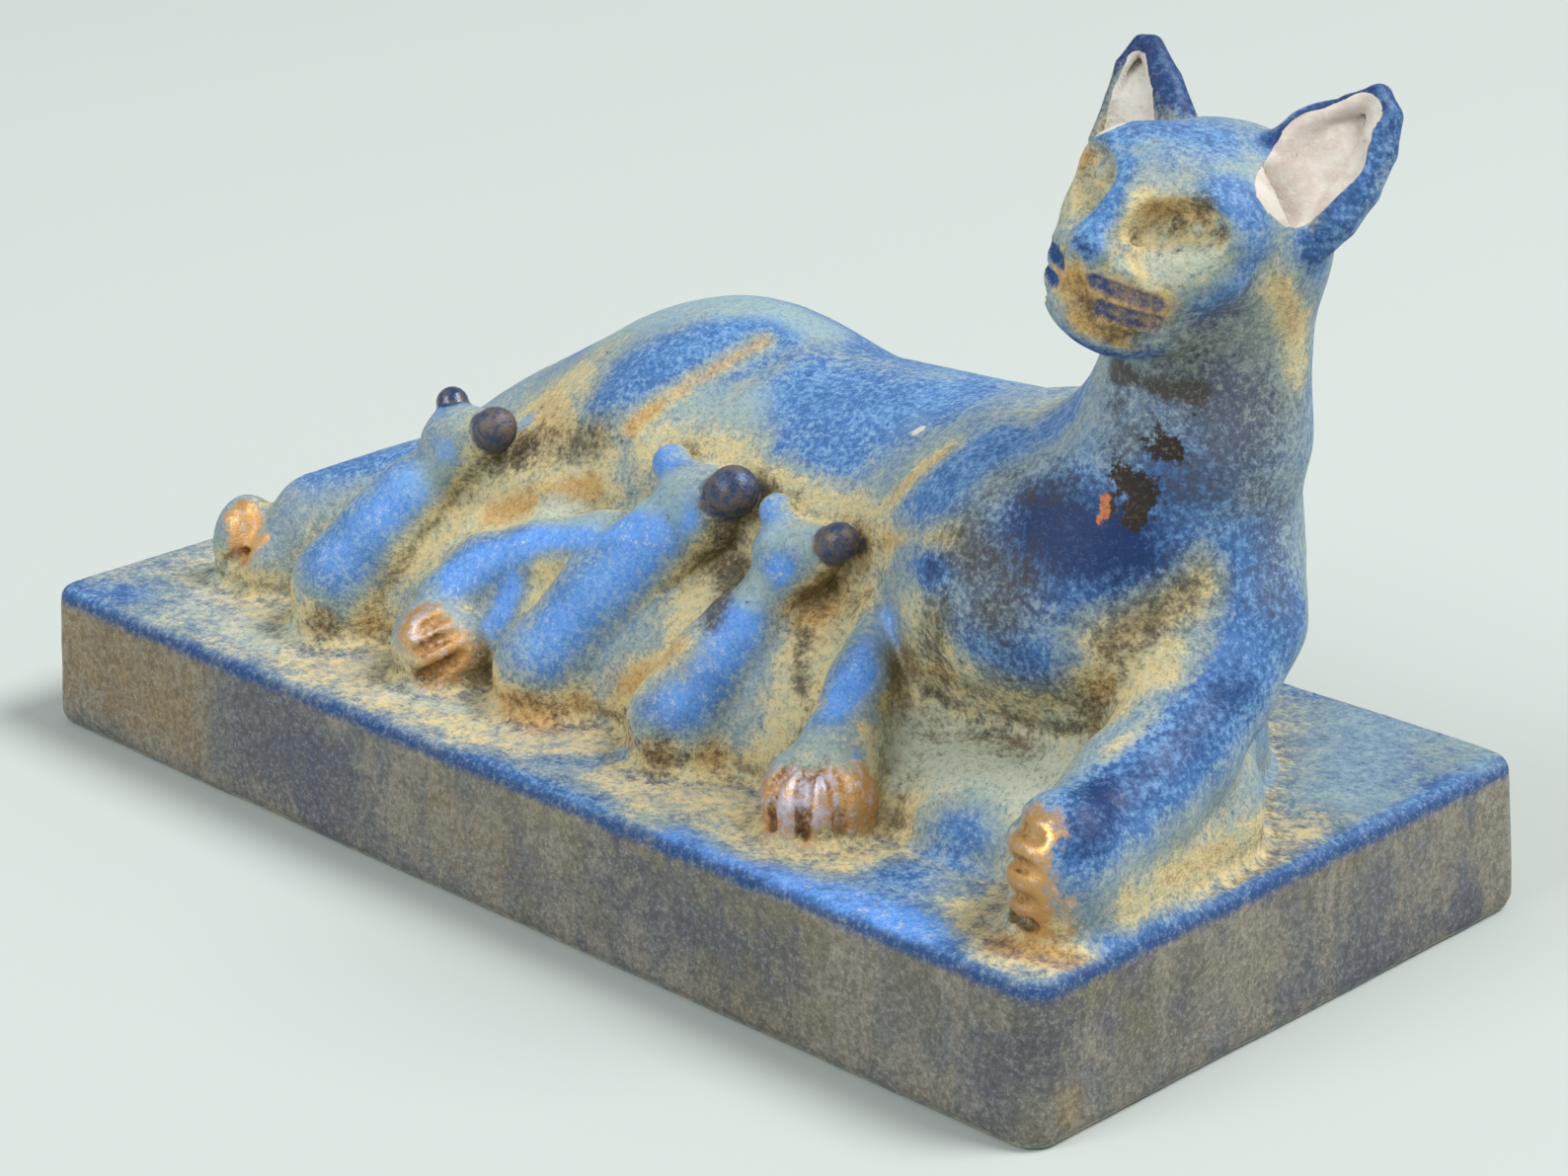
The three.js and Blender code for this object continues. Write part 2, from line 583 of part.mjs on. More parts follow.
function thinned({ points, faces }, target) {
  const place = Float64Array.from(points);
  const face = Int32Array.from(faces);
  const pointCount = place.length / 3;
  const faceCount = face.length / 3;
  const quadrics = new Float64Array(pointCount * TERMS);
  const around = Array.from({ length: pointCount }, () => []);
  const alive = new Uint8Array(faceCount).fill(1);
  const age = new Int32Array(pointCount);
  const corners = (f) => [face[3 * f], face[3 * f + 1], face[3 * f + 2]];

  // The cross product of two sides of a triangle, whose length is twice its area
  const crossOf = (p, q, r) => {
    const ax = q[0] - p[0], ay = q[1] - p[1], az = q[2] - p[2];
    const bx = r[0] - p[0], by = r[1] - p[1], bz = r[2] - p[2];
    return [ay * bz - az * by, az * bx - ax * bz, ax * by - ay * bx];
  };
  const spot = (v) => [place[3 * v], place[3 * v + 1], place[3 * v + 2]];

  for (let f = 0; f < faceCount; f++) {
    const trio = corners(f);
    const first = spot(trio[0]);
    const cross = crossOf(first, spot(trio[1]), spot(trio[2]));
    const size = Math.hypot(...cross);
    trio.forEach((v) => around[v].push(f));
    if (size === 0) continue;
    const [a, b, c] = cross.map((value) => value / size);
    const plane = [a, b, c, -(a * first[0] + b * first[1] + c * first[2])];
    for (const v of trio) {
      addPlane(quadrics, v * TERMS, plane, size);
      const [x, y, z] = spot(v);
      addPlane(quadrics, v * TERMS, [1, 0, 0, -x], size * POINT_WEIGHT);
      addPlane(quadrics, v * TERMS, [0, 1, 0, -y], size * POINT_WEIGHT);
      addPlane(quadrics, v * TERMS, [0, 0, 1, -z], size * POINT_WEIGHT);
    }
  }

  const neighbours = (v) => {
    const found = new Set();
    for (const f of around[v]) for (const w of corners(f)) if (w !== v) found.add(w);
    return found;
  };
  const heap = new Heap();
  const offer = (a, b) => {
    const best = bestPlace(quadrics, a, b);
    heap.push({ ...best, a, b, ageA: age[a], ageB: age[b] });
  };

  // True where no face would turn over or shrink to nothing when v moves to the new spot
  const keepsFaces = (v, other, moved) => around[v].every((f) => {
    const trio = corners(f);
    if (trio.includes(other)) return true;
    const before = crossOf(...trio.map(spot));
    const after = crossOf(...trio.map((w) => (w === v ? moved : spot(w))));
    const sizes = Math.hypot(...before) * Math.hypot(...after);
    const dot = before[0] * after[0] + before[1] * after[1] + before[2] * after[2];
    return sizes > 1e-9 && dot > LEAST_TURN * sizes;
  });

  for (let v = 0; v < pointCount; v++) for (const w of neighbours(v)) if (v < w) offer(v, w);

  let left = faceCount;
  while (left > target && heap.items.length) {
    const { a, b, ageA, ageB, x, y, z } = heap.pop();
    if (age[a] !== ageA || age[b] !== ageB) continue;
    const nearA = neighbours(a);
    const shared = [...neighbours(b)].filter((v) => nearA.has(v));
    const moved = [x, y, z];
    if (shared.length !== 2 || !keepsFaces(a, b, moved) || !keepsFaces(b, a, moved)) continue;
    place.set(moved, 3 * a);
    for (let i = 0; i < TERMS; i++) quadrics[a * TERMS + i] += quadrics[b * TERMS + i];
    for (const f of around[b]) {
      if (corners(f).includes(a)) {
        alive[f] = 0;
        left--;
      } else {
        face[3 * f + corners(f).indexOf(b)] = a;
        around[a].push(f);
      }
    }
    around[b] = [];
    age[b] = -1;
    age[a]++;
    around[a] = around[a].filter((f) => alive[f]);
    for (const v of shared) around[v] = around[v].filter((f) => alive[f]);
    for (const v of neighbours(a)) offer(a, v);
  }

  // Only the points still in use, numbered anew
  const number = new Map();
  const index = [];
  const kept = [];
  for (let f = 0; f < faceCount; f++) {
    if (!alive[f]) continue;
    for (const v of corners(f)) {
      if (!number.has(v)) {
        number.set(v, number.size);
        kept.push(...spot(v));
      }
      index.push(number.get(v));
    }
  }
  return { points: kept, faces: index };
}

function statuette() {
  const reach = new Reach();
  lyingParts(reach);
  const area = reach.box.clone();
  area.min.add(new THREE.Vector3(-TAIL_END_BORDER, -FRONT_BORDER, 0)).setZ(0);
  area.max.add(new THREE.Vector3(HEAD_END_BORDER, BACK_BORDER, 0)).setZ(0);
  const plinth = plinthBlock(area);
  risingParts(reach);
  reach.join(plinth);

  const clay = new Clay(reach.box, gridStep);
  lyingParts(clay);
  risingParts(clay);
  clay.join(plinth, 2.5);
  const { points, faces } = thinned(clay.skin(), TRIANGLES);
  const geometry = new THREE.BufferGeometry();
  geometry.setAttribute("position", new THREE.Float32BufferAttribute(points, 3));
  geometry.setIndex(faces);
  geometry.computeVertexNormals();
  const paint = new THREE.MeshStandardMaterial({ color: 0x5b7fb4, roughness: 0.75, metalness: 0 });
  const mesh = new THREE.Mesh(geometry, paint);
  mesh.name = "statuette";
  return mesh;
}

const group = new THREE.Group();
group.add(statuette());
export default group;
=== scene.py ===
from math import cos, radians, sin

import bpy
import numpy as np
from mathutils import Matrix, Vector


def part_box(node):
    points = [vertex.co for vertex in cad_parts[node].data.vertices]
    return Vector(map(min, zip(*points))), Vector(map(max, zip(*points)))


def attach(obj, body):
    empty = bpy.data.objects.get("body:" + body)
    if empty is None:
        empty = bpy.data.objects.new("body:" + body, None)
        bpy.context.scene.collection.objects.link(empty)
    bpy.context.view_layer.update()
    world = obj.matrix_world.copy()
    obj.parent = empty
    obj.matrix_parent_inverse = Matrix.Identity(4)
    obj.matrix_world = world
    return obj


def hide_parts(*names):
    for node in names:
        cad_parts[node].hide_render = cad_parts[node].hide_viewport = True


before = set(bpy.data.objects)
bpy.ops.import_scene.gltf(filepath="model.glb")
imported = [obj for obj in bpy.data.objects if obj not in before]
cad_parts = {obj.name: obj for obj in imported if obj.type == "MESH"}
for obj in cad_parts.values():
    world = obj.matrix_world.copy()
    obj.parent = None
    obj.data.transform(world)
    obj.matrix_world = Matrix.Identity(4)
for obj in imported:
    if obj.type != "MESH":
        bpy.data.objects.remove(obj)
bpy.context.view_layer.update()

# The figure is told in parts, of which it is 168.8 long. Heights count up from the plinth's top.
PLINTH_LENGTH = 180.0
PLINTH_WIDTH = 87.0
PLINTH_HEIGHT = 19.6
PLINTH_FLARE = 0.9
PLINTH_CORNER_RADIUS = 4.0
PLINTH_EDGE_RADIUS = 1.6


def vec(*values):
    return np.array(values, float)


def unit(v):
    return np.asarray(v, float) / np.linalg.norm(v)


def turned(v, axis, angle):
    """v turned about a unit axis."""
    v, axis = np.asarray(v, float), np.asarray(axis, float)
    return v * cos(angle) + np.cross(axis, v) * sin(angle) + axis * (axis @ v) * (1 - cos(angle))


UP = vec(0, 0, 1)
FACE_TURN = radians(5)
FACE_TILT = radians(13)
FACE_AHEAD = vec(-sin(FACE_TURN), -cos(FACE_TURN), 0)
FACE_LEFT = turned(vec(cos(FACE_TURN), -sin(FACE_TURN), 0), FACE_AHEAD, -FACE_TILT)
FACE_UP = np.cross(FACE_AHEAD, FACE_LEFT)
FACE_AXES = (FACE_LEFT, FACE_AHEAD, FACE_UP)
SPACE_AXES = (vec(1, 0, 0), vec(0, 1, 0), UP)
HEAD = vec(73.3, 4, 69.7)


def on_face(x, y, z):
    """A place told along the face's own axes from the middle of the head."""
    return HEAD + x * FACE_LEFT + y * FACE_AHEAD + z * FACE_UP


# Farther than any distance that counts
FAR = 50.0


# Shapes: each is a function that gives its distance at points, and the box that holds it
def bar(a, b, start, end, across=None, thin=1.0):
    """A round-ended bar whose radius runs from start to end, pressed to a share along across."""
    a, b = np.asarray(a, float), np.asarray(b, float)
    run = b - a
    run_squared = run @ run
    press = np.zeros(3)
    if across is not None:
        press = unit(across - run * (across @ run) / run_squared)
    stretch = 1 / thin - 1

    def distance(x, y, z):
        px, py, pz = x - a[0], y - a[1], z - a[2]
        share = np.clip((px * run[0] + py * run[1] + pz * run[2]) / run_squared, 0, 1)
        off = px * press[0] + py * press[1] + pz * press[2]
        qx = px - share * run[0] + stretch * off * press[0]
        qy = py - share * run[1] + stretch * off * press[1]
        qz = pz - share * run[2] + stretch * off * press[2]
        length = np.sqrt(qx * qx + qy * qy + qz * qz)
        gap = length - start - (end - start) * share
        if across is None:
            return gap
        pressed = off / thin
        slope = np.sqrt(np.maximum(length ** 2 - pressed ** 2, 0) + (pressed / thin) ** 2)
        return gap * length / np.maximum(slope, 1e-6)

    reach = max(start, end)
    return distance, np.minimum(a, b) - reach, np.maximum(a, b) + reach


def egg(centre, radii, axes=SPACE_AXES):
    """An ellipsoid."""
    def distance(x, y, z):
        px, py, pz = x - centre[0], y - centre[1], z - centre[2]
        shares = [(px * u[0] + py * u[1] + pz * u[2]) / r for u, r in zip(axes, radii)]
        size = np.sqrt(sum(s * s for s in shares))
        slope = np.sqrt(sum((s / r) ** 2 for s, r in zip(shares, radii)))
        return size * (size - 1) / np.maximum(slope, 1e-6)

    reach = np.sqrt(sum((np.asarray(u) * r) ** 2 for u, r in zip(axes, radii)))
    return distance, centre - reach, centre + reach


def plinth_block():
    """The plinth, rounded at its corners and edges, whose sides lean out towards the foot."""
    def distance(x, y, z):
        spread = PLINTH_FLARE * (-z / PLINTH_HEIGHT) - PLINTH_CORNER_RADIUS
        qx = np.abs(x) - PLINTH_LENGTH / 2 - spread
        qy = np.abs(y) - PLINTH_WIDTH / 2 - spread
        corner = np.sqrt(np.maximum(qx, 0) ** 2 + np.maximum(qy, 0) ** 2)
        corner = corner + np.minimum(np.maximum(qx, qy), 0) - PLINTH_CORNER_RADIUS
        side = corner + PLINTH_EDGE_RADIUS
        top = np.abs(z + PLINTH_HEIGHT / 2) - PLINTH_HEIGHT / 2 + PLINTH_EDGE_RADIUS
        outside = np.sqrt(np.maximum(side, 0) ** 2 + np.maximum(top, 0) ** 2)
        return np.minimum(np.maximum(side, top), 0) + outside - PLINTH_EDGE_RADIUS

    half = vec(PLINTH_LENGTH / 2 + PLINTH_FLARE, PLINTH_WIDTH / 2 + PLINTH_FLARE, 0)
    return distance, -half - PLINTH_HEIGHT * UP, half


class Clay:
    """Signed distances on a grid whose planes stand at the given places, negative inside."""

    def __init__(self, planes, margin=1.5):
        self.planes = [np.asarray(places, np.float32) for places in planes]
        self.margin = margin
        self.depth = np.full([len(places) for places in self.planes], FAR, np.float32)

    def mix(self, shape, softness, sign):
        """The shape blended in over a width of softness, for the clay or for the space around it."""
        distance, low, high = shape
        room = softness + self.margin
        window = []
        for places, near, far in zip(self.planes, low - room, high + room):
            window.append(slice(*np.searchsorted(places, (near, far))))
        if any(span.start >= span.stop for span in window):
            return
        x, y, z = (places[span] for places, span in zip(self.planes, window))
        added = distance(x[:, None, None], y[None, :, None], z[None, None, :]).astype(np.float32)
        old = sign * self.depth[tuple(window)]
        blend = np.maximum(softness - np.abs(old - added), 0) ** 2 / softness / 4 if softness else 0
        self.depth[tuple(window)] = sign * (np.minimum(old, added) - blend)

    def join(self, shape, softness):
        self.mix(shape, softness, 1)

    def carve(self, shape, softness):
        self.mix(shape, softness, -1)


def limb(clay, joints, softness, root_softness=None):
    """A run of bars through pairs of point and radius."""
    for n, ((a, r0), (b, r1)) in enumerate(zip(joints, joints[1:])):
        first = softness if root_softness is None else root_softness
        clay.join(bar(a, b, r0, r1), softness if n else first)


def limb_cut(clay, joints, softness):
    """A run of grooves through pairs of point and radius."""
    for (a, r0), (b, r1) in zip(joints, joints[1:]):
        clay.carve(bar(a, b, r0, r1), softness)


POST_DEPTH = 12


def post(place, radius):
    """The clay that joins a foot to the plinth below it."""
    return bar(place, np.array(place, float) - POST_DEPTH * UP, radius, radius)


def torso(clay):
    clay.join(bar((-38, 12, 3), (56, 9, 3), 15, 18), 0)
    clay.join(bar((-20, 12, 18), (48, 12, 20), 20.8, 21.7), 0)
    clay.join(egg(vec(18, 3, 14.4), (36, 15.5, 19)), 8)
    clay.join(egg(vec(-10, 12, 20.4), (22, 19.5, 22.8)), 7)
    clay.join(egg(vec(-34, 12, 10.9), (24, 19, 20)), 8)
    clay.join(egg(vec(-22, -6, 7.4), (24, 9, 12)), 4)
    # The chest: the near shoulder, the keel below the throat, and the far side
    clay.join(egg(vec(51, 2, 25), (18, 19, 18)), 10)
    clay.join(bar((69, 2, 44), (62.5, 0.5, 26), 8.5, 16.5), 9)
    clay.join(egg(vec(54, 11, 22.9), (17, 19, 19)), 8)
    # The lap that fills the spaces between the kittens
    clay.join(bar((-38, -15.6, 9.5), (30, -15.6, 9.5), 13, 13, (0, -0.77, 0.64), 0.5), 3)
    clay.join(bar((-50, -8, 1), (36, -13, 1), 6, 6), 2)


def tail(clay):
    limb(clay, [
        ((-54, 20, 5.5), 5.5), ((-38, 29.5, 4.5), 4.6), ((-14, 32.5, 4), 4),
        ((8, 33, 3.6), 3.4), ((24, 32, 3.2), 2.8),
    ], 2, 4)
    clay.join(bar((-50, 22, 2), (14, 28, 2.5), 5, 3.5), 2)


def hind_legs(clay):
    clay.join(bar((-12, 3, 24.9), (-38, -2, 13.9), 13.5, 10), 4)
    clay.join(bar((-45, 2, 13.4), (-64, -16, 7.7), 10, 7.3), 6)
    clay.join(bar((-60, -13, 3.4), (-67, -20, 2.4), 9, 7), 3)
    clay.join(bar((-42, 6, 2), (-58, -4, 2), 10, 9), 3)
    clay.join(bar((-70, -14, 0.4), (-76, -16, 0.4), 6, 4), 3)
    # The crease that parts the thigh from the belly, and the groin below it
    limb_cut(clay, [
        ((1.5, 9, 45.5), 2), ((0, 3, 43.2), 3.4), ((-2, -3, 40.4), 3.6), ((-7.5, -10, 35), 3.6),
    ], 4)
    clay.carve(bar((-12, -13.5, 30), (-27, -15.5, 25.5), 4.5, 4), 3)
    limb(clay, [
        ((-1, -9, 17.5), 6), ((-8.5, -13.5, 16.4), 5.3), ((-17.5, -16, 14.4), 5),
        ((-25, -19, 11.8), 4.8), ((-28, -23.5, 7.5), 5),
    ], 1.6, 1.6)
    clay.join(bar((-14, -12, 6), (-24, -20, 3), 7, 6), 3)


def forelegs(clay):
    clay.join(bar((44, -4, 14.4), (52, -3, 10.4), 8, 9), 5)
    # The apron below the chest
    clay.join(egg(vec(61, -7, 0), (24, 19, 11.5)), 3)
    clay.join(egg(vec(69, -8, 9), (7, 7, 7)), 3)
    limb(clay, [((36.3, -11.5, 19.3), 2.2), ((40.3, -18.5, 14), 3.8), ((43.3, -25.5, 8), 5)], 1.5, 2)
    clay.join(bar((42, -12, 6.4), (44, -24, 1.4), 7.5, 5.5), 3)
    clay.join(bar((58, 16, 14), (70, 8, 24), 10, 8.6), 5)
    limb(clay, [
        ((73, 7, 31), 7), ((78.6, 3, 25.5), 6.8), ((79.8, -3, 19.8), 6.8),
        ((80.5, -10, 14.5), 7), ((80.8, -17, 11.5), 7.2), ((81.2, -25, 8), 7.2),
    ], 2, 4)
    limb(clay, [((66, 10, 8), 7.5), ((77.5, -4, 5), 8), ((81.2, -25, 0.4), 7.4)], 3, 4)


# Each paw's place, radii and the radius of the post under it
PAWS = [
    (vec(-72.3, -22.5, 4.9), (4.6, 5, 6.8), 4.4),
    (vec(-25.3, -28, 4.1), (6.8, 6, 5.9), 5.8),
    (vec(43.5, -29, 3.9), (6.9, 6.3, 6), 6.2),
    (vec(81.8, -29.4, 7.6), (7, 7.3, 8.4), 6.3),
]


def paws(clay):
    for place, radii, post_radius in PAWS:
        clay.join(egg(place, radii), 1.2)
        clay.join(post(place, post_radius), 1)


# The clefts between toes: each runs over its paw by compass angle from the front and by rise
TOES = [
    [((12, -12), (35, -4), (60, 2))],
    [((22, 40), (55, 58)), ((18, 10), (62, 34)), ((22, -22), (70, 6))],
    [((-12, -25), (-14, 20), (0, 65)), ((26, -25), (26, 20), (30, 62)), ((64, -25), (64, 20), (58, 60))],
    [((-75, 34), (-35, 36), (8, 36)), ((-78, 8), (-35, 10), (12, 12)), ((-78, -18), (-35, -16), (8, -14)),
     ((-75, -42), (-35, -40), (5, -38))],
]


def toes(clay):
    for (place, radii, _), clefts in zip(PAWS, TOES):
        for cleft in clefts:
            run = []
            for compass, rise in cleft:
                compass, rise = radians(compass), radians(rise)
                way = vec(sin(compass) * cos(rise), -cos(compass) * cos(rise), sin(rise))
                run.append((place + (np.array(radii) + 0.25) * way, 0.75))
            limb_cut(clay, run, 0.9)


KITTENS = [
    dict(body=[((-47.5, -25.2, 5.6), 7), ((-43.8, -20.8, 12), 6.8), ((-41, -17.6, 17), 6.2)],
         head=((-37.6, -13, 24), 5.2), knobs=[((-40.2, -12, 29.3), 2.1), ((-29.6, -13.8, 28.5), 2.8)]),
    dict(body=[((-8.2, -24.5, 4.3), 6.7), ((-3, -18.4, 13.5), 6.8), ((3.2, -14, 21), 6.2)],
         head=((6.5, -11.8, 25), 5.6), knobs=[((0.2, -10.5, 29.7), 2.6), ((13.3, -12.8, 29.8), 3.2)]),
    dict(body=[((16.2, -24.5, 4), 6.6), ((18.8, -20.6, 10), 6.6), ((20.6, -18, 14), 6.1)],
         head=((23.6, -13.2, 23.3), 4.8), knobs=[((19.8, -11.8, 28.5), 2.2), ((32, -13.6, 28), 2.4)]),
]
# The clay below a kitten: how far it is shifted from the body above, and how much thicker it is
BED = [((0, 0, -6), 0), ((0, 2, -9), 0), ((0, 3, -9), 0.6)]
NECK_SLIMMER = 1.3
# A knob stands on a stalk: its share of the knob's radius, and where it starts towards the head
EAR_STALK = 0.7
STALK_ROOT = 0.55
ROOT_SLIMMER = 1


def kittens(clay):
    for kitten in KITTENS:
        body, (crown, roundness) = kitten["body"], kitten["head"]
        limb(clay, body, 1.2, 1.5)
        clay.join(post(*body[0]), 2)
        limb(clay, [(vec(*place) + shift, radius + wider)
                    for (place, radius), (shift, wider) in zip(body, BED)], 2.5)
        clay.join(bar(body[-1][0], crown, body[-1][1] - NECK_SLIMMER, roundness - NECK_SLIMMER), 1)
        clay.join(egg(vec(*crown), (roundness,) * 3), 0.8)
        for knob, radius in kitten["knobs"]:
            root = vec(*knob) * (1 - STALK_ROOT) + vec(*crown) * STALK_ROOT
            clay.join(bar(knob, root, radius * EAR_STALK, roundness - ROOT_SLIMMER), 1.6)
            clay.join(egg(vec(*knob), (radius,) * 3), 0.5)
    # The belly's swell behind the heads
    clay.join(bar((-33, -7, 19), (-22, -7.5, 19), 7, 7), 3)


def neck_and_head(clay):
    clay.join(bar((65.8, 2.2, 26.4), (71.9, 4.3, 46.4), 15.2, 11.7), 8)
    clay.join(bar((71.9, 4.3, 46.4), (73.2, 4.7, 64.4), 11.7, 10.9), 2)
    # The nape's slope down to the back
    clay.join(bar((67, 7, 50), (58, 10, 36), 9, 11), 5)
    clay.join(egg(on_face(0, 0.3, 1.3), (12.8, 12.8, 10.9), FACE_AXES), 5)
    # Brow and cheek
    clay.join(egg(on_face(0, 5.5, 6), (9.5, 8, 5.6), FACE_AXES), 2)
    for side in (1, -1):
        clay.join(egg(on_face(5.4 * side, 7.4, 5.2), (7.4, 6.9, 5.9), FACE_AXES), 2)
        clay.join(egg(on_face(5.4 * side, 9.2, 0.8), (6, 5.8, 5.2), FACE_AXES), 2.5)
    # Jaw, muzzle and chin
    clay.join(egg(on_face(0, 4, -4), (11.4, 9, 7.3), FACE_AXES), 3)
    clay.join(egg(on_face(-0.2, 12.2, -1.6), (9.8, 8.3, 5), FACE_AXES), 2.5)
    clay.join(egg(on_face(-0.3, 12.6, -6), (9.4, 8.1, 5.6), FACE_AXES), 2.5)
    clay.join(bar(on_face(0, 12, 3.6), on_face(0, 18, 0.6), 5, 3.2), 2.5)


SOCKET_LEAN = 0.6


def eyes_and_nose(clay):
    for side in (1, -1):
        run = unit(9.6 * side * FACE_LEFT - 5.6 * FACE_AHEAD + 1.6 * FACE_UP)
        rise = unit(FACE_UP - run * (FACE_UP @ run))
        out = np.cross(run, rise) * side
        # The socket leans so that its floor is deepest below the brow
        axes = (run, unit(out + SOCKET_LEAN * rise), unit(rise - SOCKET_LEAN * out))
        clay.carve(egg(on_face(6.8 * side, 14.8, 6.3), (6.3, 3.5, 3.4), axes), 0.6)
        clay.join(egg(on_face(6.2 * side, 9.2, 0.6), (6, 5.6, 4), FACE_AXES), 2)
        clay.join(egg(on_face(7.5 * side, 10.2, 5.7), (1.9, 1.8, 1.8), FACE_AXES), 0.25)
    # The nose
    limb(clay, [
        (on_face(0, 9.5, 8.2), 2.8), (on_face(0, 15.2, 5.6), 2.1), (on_face(0, 19.6, 3.1), 2),
    ], 1, 2.4)
    clay.join(egg(on_face(0.3, 20, 2.2), (3, 2, 1.9), FACE_AXES), 0.8)


# The two grooves at each side of the mouth and the cleft below the nose, on the face
MOUTH = [
    [(2.6, 20.8, -0.8), (4.2, 19.8, -1.1), (5.8, 18.9, -1.3), (7.1, 17.9, -1.5), (8.3, 16.5, -1.9)],
    [(3.6, 20.1, -3.5), (5, 19.4, -3.7), (6.2, 18.6, -3.8), (7.3, 17.5, -3.9), (8.3, 16.1, -4.1)],
]
CLEFT = [(0.5, 22, 1.2), (0.6, 21.6, 0), (0.8, 21.4, -1.4), (1, 21.1, -2.6)]


def mouth(clay):
    limb_cut(clay, [(on_face(*place), 0.7) for place in CLEFT], 0.6)
    for side, width in ((1, 0.8), (-1, 0.5)):
        for line in MOUTH:
            limb_cut(clay, [(on_face(x * side, y, z), width) for x, y, z in line], 0.3)
        run = unit(4 * side * FACE_LEFT - 4.4 * FACE_AHEAD)
        axes = (run, np.cross(run, FACE_UP), FACE_UP)
        clay.carve(egg(on_face(6.9 * side, 17.6, -6.6), (3.3, 1.1, 1.2), axes), 0.2)
        clay.carve(egg(on_face(3.1 * side, 15.8, 3.4), (0.6, 0.6, 0.6)), 0.2)
        clay.join(bar(on_face(3.6 * side, 19, 1), on_face(5.6 * side, 17.6, 0.6), 0.8, 0.7), 0.5)


EARS = [
    dict(facing=vec(0.61, -0.67, 0.41),
         plate=[((82.4, 5, 75.6), 6), ((84, 9.6, 79.8), 5), ((86.3, 13.8, 83.8), 2)],
         rims=[[((82.6, 3.8, 67.6), 1.8), ((85.4, 4.7, 69.9), 2.3), ((87.2, 7, 72.9), 2.5),
                ((88, 9.6, 75.9), 2.5), ((88.4, 12.3, 79.5), 2.2), ((88, 14.1, 82.8), 1.9),
                ((86.9, 14.3, 84.7), 1.6)],
               [((80.2, 6.2, 80), 1.6), ((82.4, 9.2, 82.5), 1.2), ((84.7, 12.3, 84), 1.2),
                ((86.9, 14.3, 84.7), 1.5)]],
         hollow=[((82.7, 4.5, 75.2), 3.8), ((84.1, 8.2, 79.3), 4.6), ((85.9, 12.6, 83.2), 2)]),
    dict(facing=vec(0.33, -0.8, 0.51),
         plate=[((60.6, 5.4, 77.4), 5.2), ((59.2, 7.6, 82), 4), ((58.2, 9.6, 85.8), 2.1)],
         rims=[[((64.3, 8.7, 79.2), 1.9), ((61.1, 9.8, 83.4), 1.7), ((58.4, 10.3, 86.9), 1.3)],
               [((63.1, 7.6, 79.6), 1.1), ((60.2, 8.9, 84.1), 0.9), ((57.9, 9.9, 87.3), 0.9)],
               [((56.2, 3.4, 77.2), 0.8), ((56.6, 5.6, 81.6), 0.7), ((56.6, 7.5, 85), 0.8),
                ((57.5, 9.6, 87.3), 1)]],
         hollow=[((60, 4.8, 77.6), 3), ((58.9, 6.8, 82), 2.2), ((58, 8.6, 85.2), 1)]),
]
EAR_THIN = 0.42
EAR_PLATE_BEHIND = 1.6
EAR_HOLLOW_AHEAD = 2.2


def ears(clay):
    for ear in EARS:
        facing = ear["facing"]
        behind, ahead = EAR_PLATE_BEHIND * facing, EAR_HOLLOW_AHEAD * facing
        for (a, r0), (b, r1) in zip(ear["plate"], ear["plate"][1:]):
            clay.join(bar(vec(*a) - behind, vec(*b) - behind, r0, r1, facing, EAR_THIN), 2)
        for rim in ear["rims"]:
            limb(clay, rim, 0.3, 1)
        for (a, r0), (b, r1) in zip(ear["hollow"], ear["hollow"][1:]):
            clay.carve(bar(vec(*a) + ahead, vec(*b) + ahead, r0, r1, facing, EAR_THIN), 0.6)


def figure(clay):
    torso(clay)
    tail(clay)
    hind_legs(clay)
    forelegs(clay)
    kittens(clay)
    paws(clay)
    toes(clay)
    neck_and_head(clay)
    eyes_and_nose(clay)
    ears(clay)
    mouth(clay)
    clay.join(plinth_block(), 2.5)


# From distances to a mesh
def sampled(clay, points):
    """The distance at each point."""
    firsts, shares = [], []
    for i, places in enumerate(clay.planes):
        index = np.interp(points[:, i], places, np.arange(len(places)))
        firsts.append(np.minimum(index.astype(int), len(places) - 2))
        shares.append((index - firsts[-1]).astype(np.float32))
    total = 0
    for corner in np.ndindex(2, 2, 2):
        weight = 1
        for share, far in zip(shares, corner):
            weight = weight * (share if far else 1 - share)
        total = total + weight * clay.depth[tuple(first + far for first, far in zip(firsts, corner))]
    return total


def slopes(clay, points, reach=0.35):
    """The direction in which the distance grows, longer where it grows faster."""
    return np.stack([sampled(clay, points + reach * axis) - sampled(clay, points - reach * axis)
                     for axis in np.eye(3)], 1) / (2 * reach)


